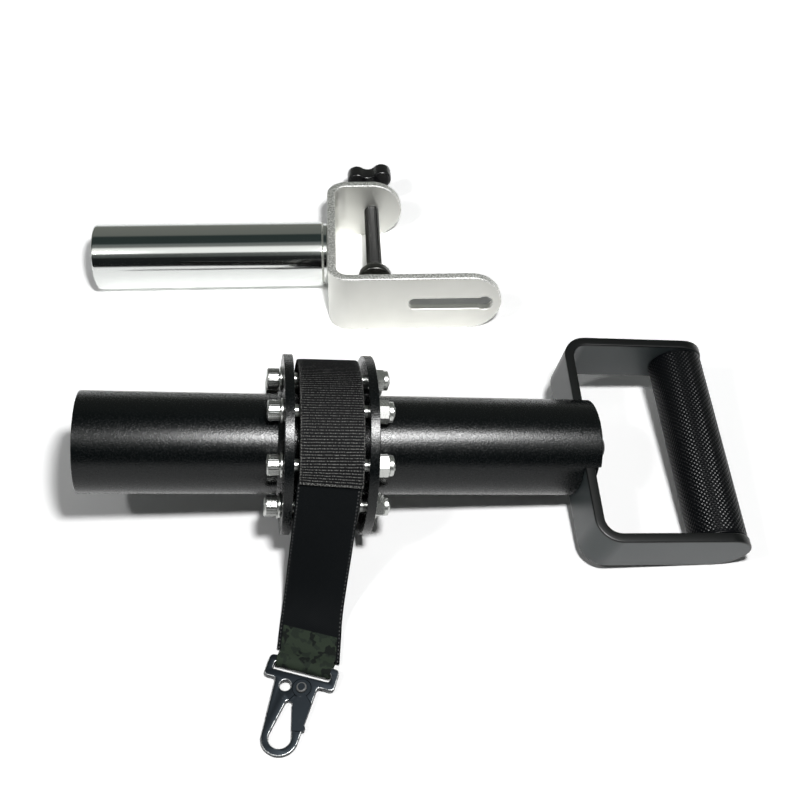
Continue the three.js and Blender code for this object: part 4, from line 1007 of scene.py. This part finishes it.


# Painted shade: the thread's roots are coloured near black, as shade in its grooves.
screw_steel = steel("rolled_screw_steel", (0.42, 0.42, 0.41), 0.26, mark="groove", marked=(0.002, 0.002, 0.002))
screw_points = turned(screw_line, 40, thread_shape)
# Painted shade mask: 1 down in the thread's grooves along the threaded length.
thread_root_shade = (screw_radius - np.hypot(screw_points[..., 1], screw_points[..., 2])) / thread_depth
thread_root_shade = np.clip(thread_root_shade * 3, 0, 1) * (screw_line[:, :1] > thread_from) * (screw_line[:, :1] < thread_to)
clamp_screw = shell("threaded_screw", screw_points, screw_place, screw_steel, "screw", sharp=40,
                    marks={"groove": thread_root_shade})
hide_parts("clamp_screw")

# Swivel pad
# A turned steel cup that holds the ball; its steel is painted dark as shade, with a painted highlight on the rim round
# its open side.
pad_line = softened([(0, 0), (0, 11), (2, 11), (6, 10.4), (6, 9.2), (2.5, 8.2), (2.5, 6.2), (8.2, 5.4), (8.2, 3.75),
                     (6.0, 4.3), (1.9, 2.2), (1.7, 0)], [0.9, 0.4, 0.8, 0.3, 0.3, 0.2, 0.6, 0.3, 0.5, 0.4], 4, 0.3)
# Painted light: the cup's steel is darkened all over as shade, and its rim, where the mark is 1, is lightened as a
# highlight.
pad_steel = steel("pad_steel", (0.10, 0.10, 0.095), 0.26, mark="rim", marked=(0.60, 0.60, 0.58))
pad_rim_highlight = (pad_line[:, :1] > 5.4) & (pad_line[:, 1:] > 9.0) & np.ones((1, 96), bool)
pad = shell("swivel_pad_cup", turned(pad_line, 96), screw_place, pad_steel, "pad",
            marks={"rim": pad_rim_highlight})
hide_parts("swivel_pad")

# Knob
# A three-lobed moulded knob on a short hub, glossy black.
lobe_radius, lobe_centre, valley_radius = 6.5, 10.0, 7.0
half_across = lobe_centre * math.sin(math.pi / 3)
valley_centre = lobe_centre * 0.5 + math.sqrt((lobe_radius + valley_radius) ** 2 - half_across ** 2)
knob_turn, on_outline, knob_edge = math.radians(24), 100, 1.6


def lobed_radius(angle):
    """Distance to the knob's outline: the far side of a lobe's circle, or the near side of a valley's."""
    folded = np.abs((angle + np.pi / 3) % (2 * np.pi / 3) - np.pi / 3)
    lobe = lobe_centre * np.cos(folded) + np.sqrt(np.maximum(lobe_radius ** 2 - (lobe_centre * np.sin(folded)) ** 2, 0))
    off = np.pi / 3 - folded
    inside = valley_radius ** 2 - (valley_centre * np.sin(off)) ** 2
    valley = valley_centre * np.cos(off) - np.sqrt(np.maximum(inside, 0))
    touch = math.atan2(valley_centre * math.sin(math.pi / 3) * lobe_radius,
                       lobe_centre * (lobe_radius + valley_radius)
                       + (valley_centre * 0.5 - lobe_centre) * lobe_radius)
    return np.where(folded < touch, lobe, valley)


def knob_shape(along, radius, angle):
    """Rows whose radius is 100 and more follow the lobed outline, as far inside it as they are over 100."""
    return np.where(radius >= on_outline, lobed_radius(angle - knob_turn) - (radius - on_outline), radius)


rounding = np.linspace(0, np.pi / 2, 7)
inner_round, outer_round = knob_edge * (1 - np.cos(rounding)), knob_edge * (1 - np.sin(rounding))
hub_start, lobes_start, knob_top = 97.0, 100.0, 111.0
knob_line = np.concatenate([
    [(hub_start + 9.0, 5.3), (hub_start, 5.3), (hub_start, 7.0), (hub_start + 0.3, 7.5), (lobes_start, 7.5),
     (lobes_start, on_outline + 4.0)],
    np.stack([lobes_start + inner_round, on_outline + outer_round], 1),
    np.stack([knob_top - outer_round, on_outline + inner_round], 1),
    [(knob_top - 0.02, on_outline + 4.0), (knob_top - 0.05, 3.0), (knob_top - 0.05, 0)],
])
knob_points = turned(knob_line, 240, knob_shape)
knob = shell("lobed_knob", knob_points, screw_place, black_plastic, "screw")
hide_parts("clamp_knob")
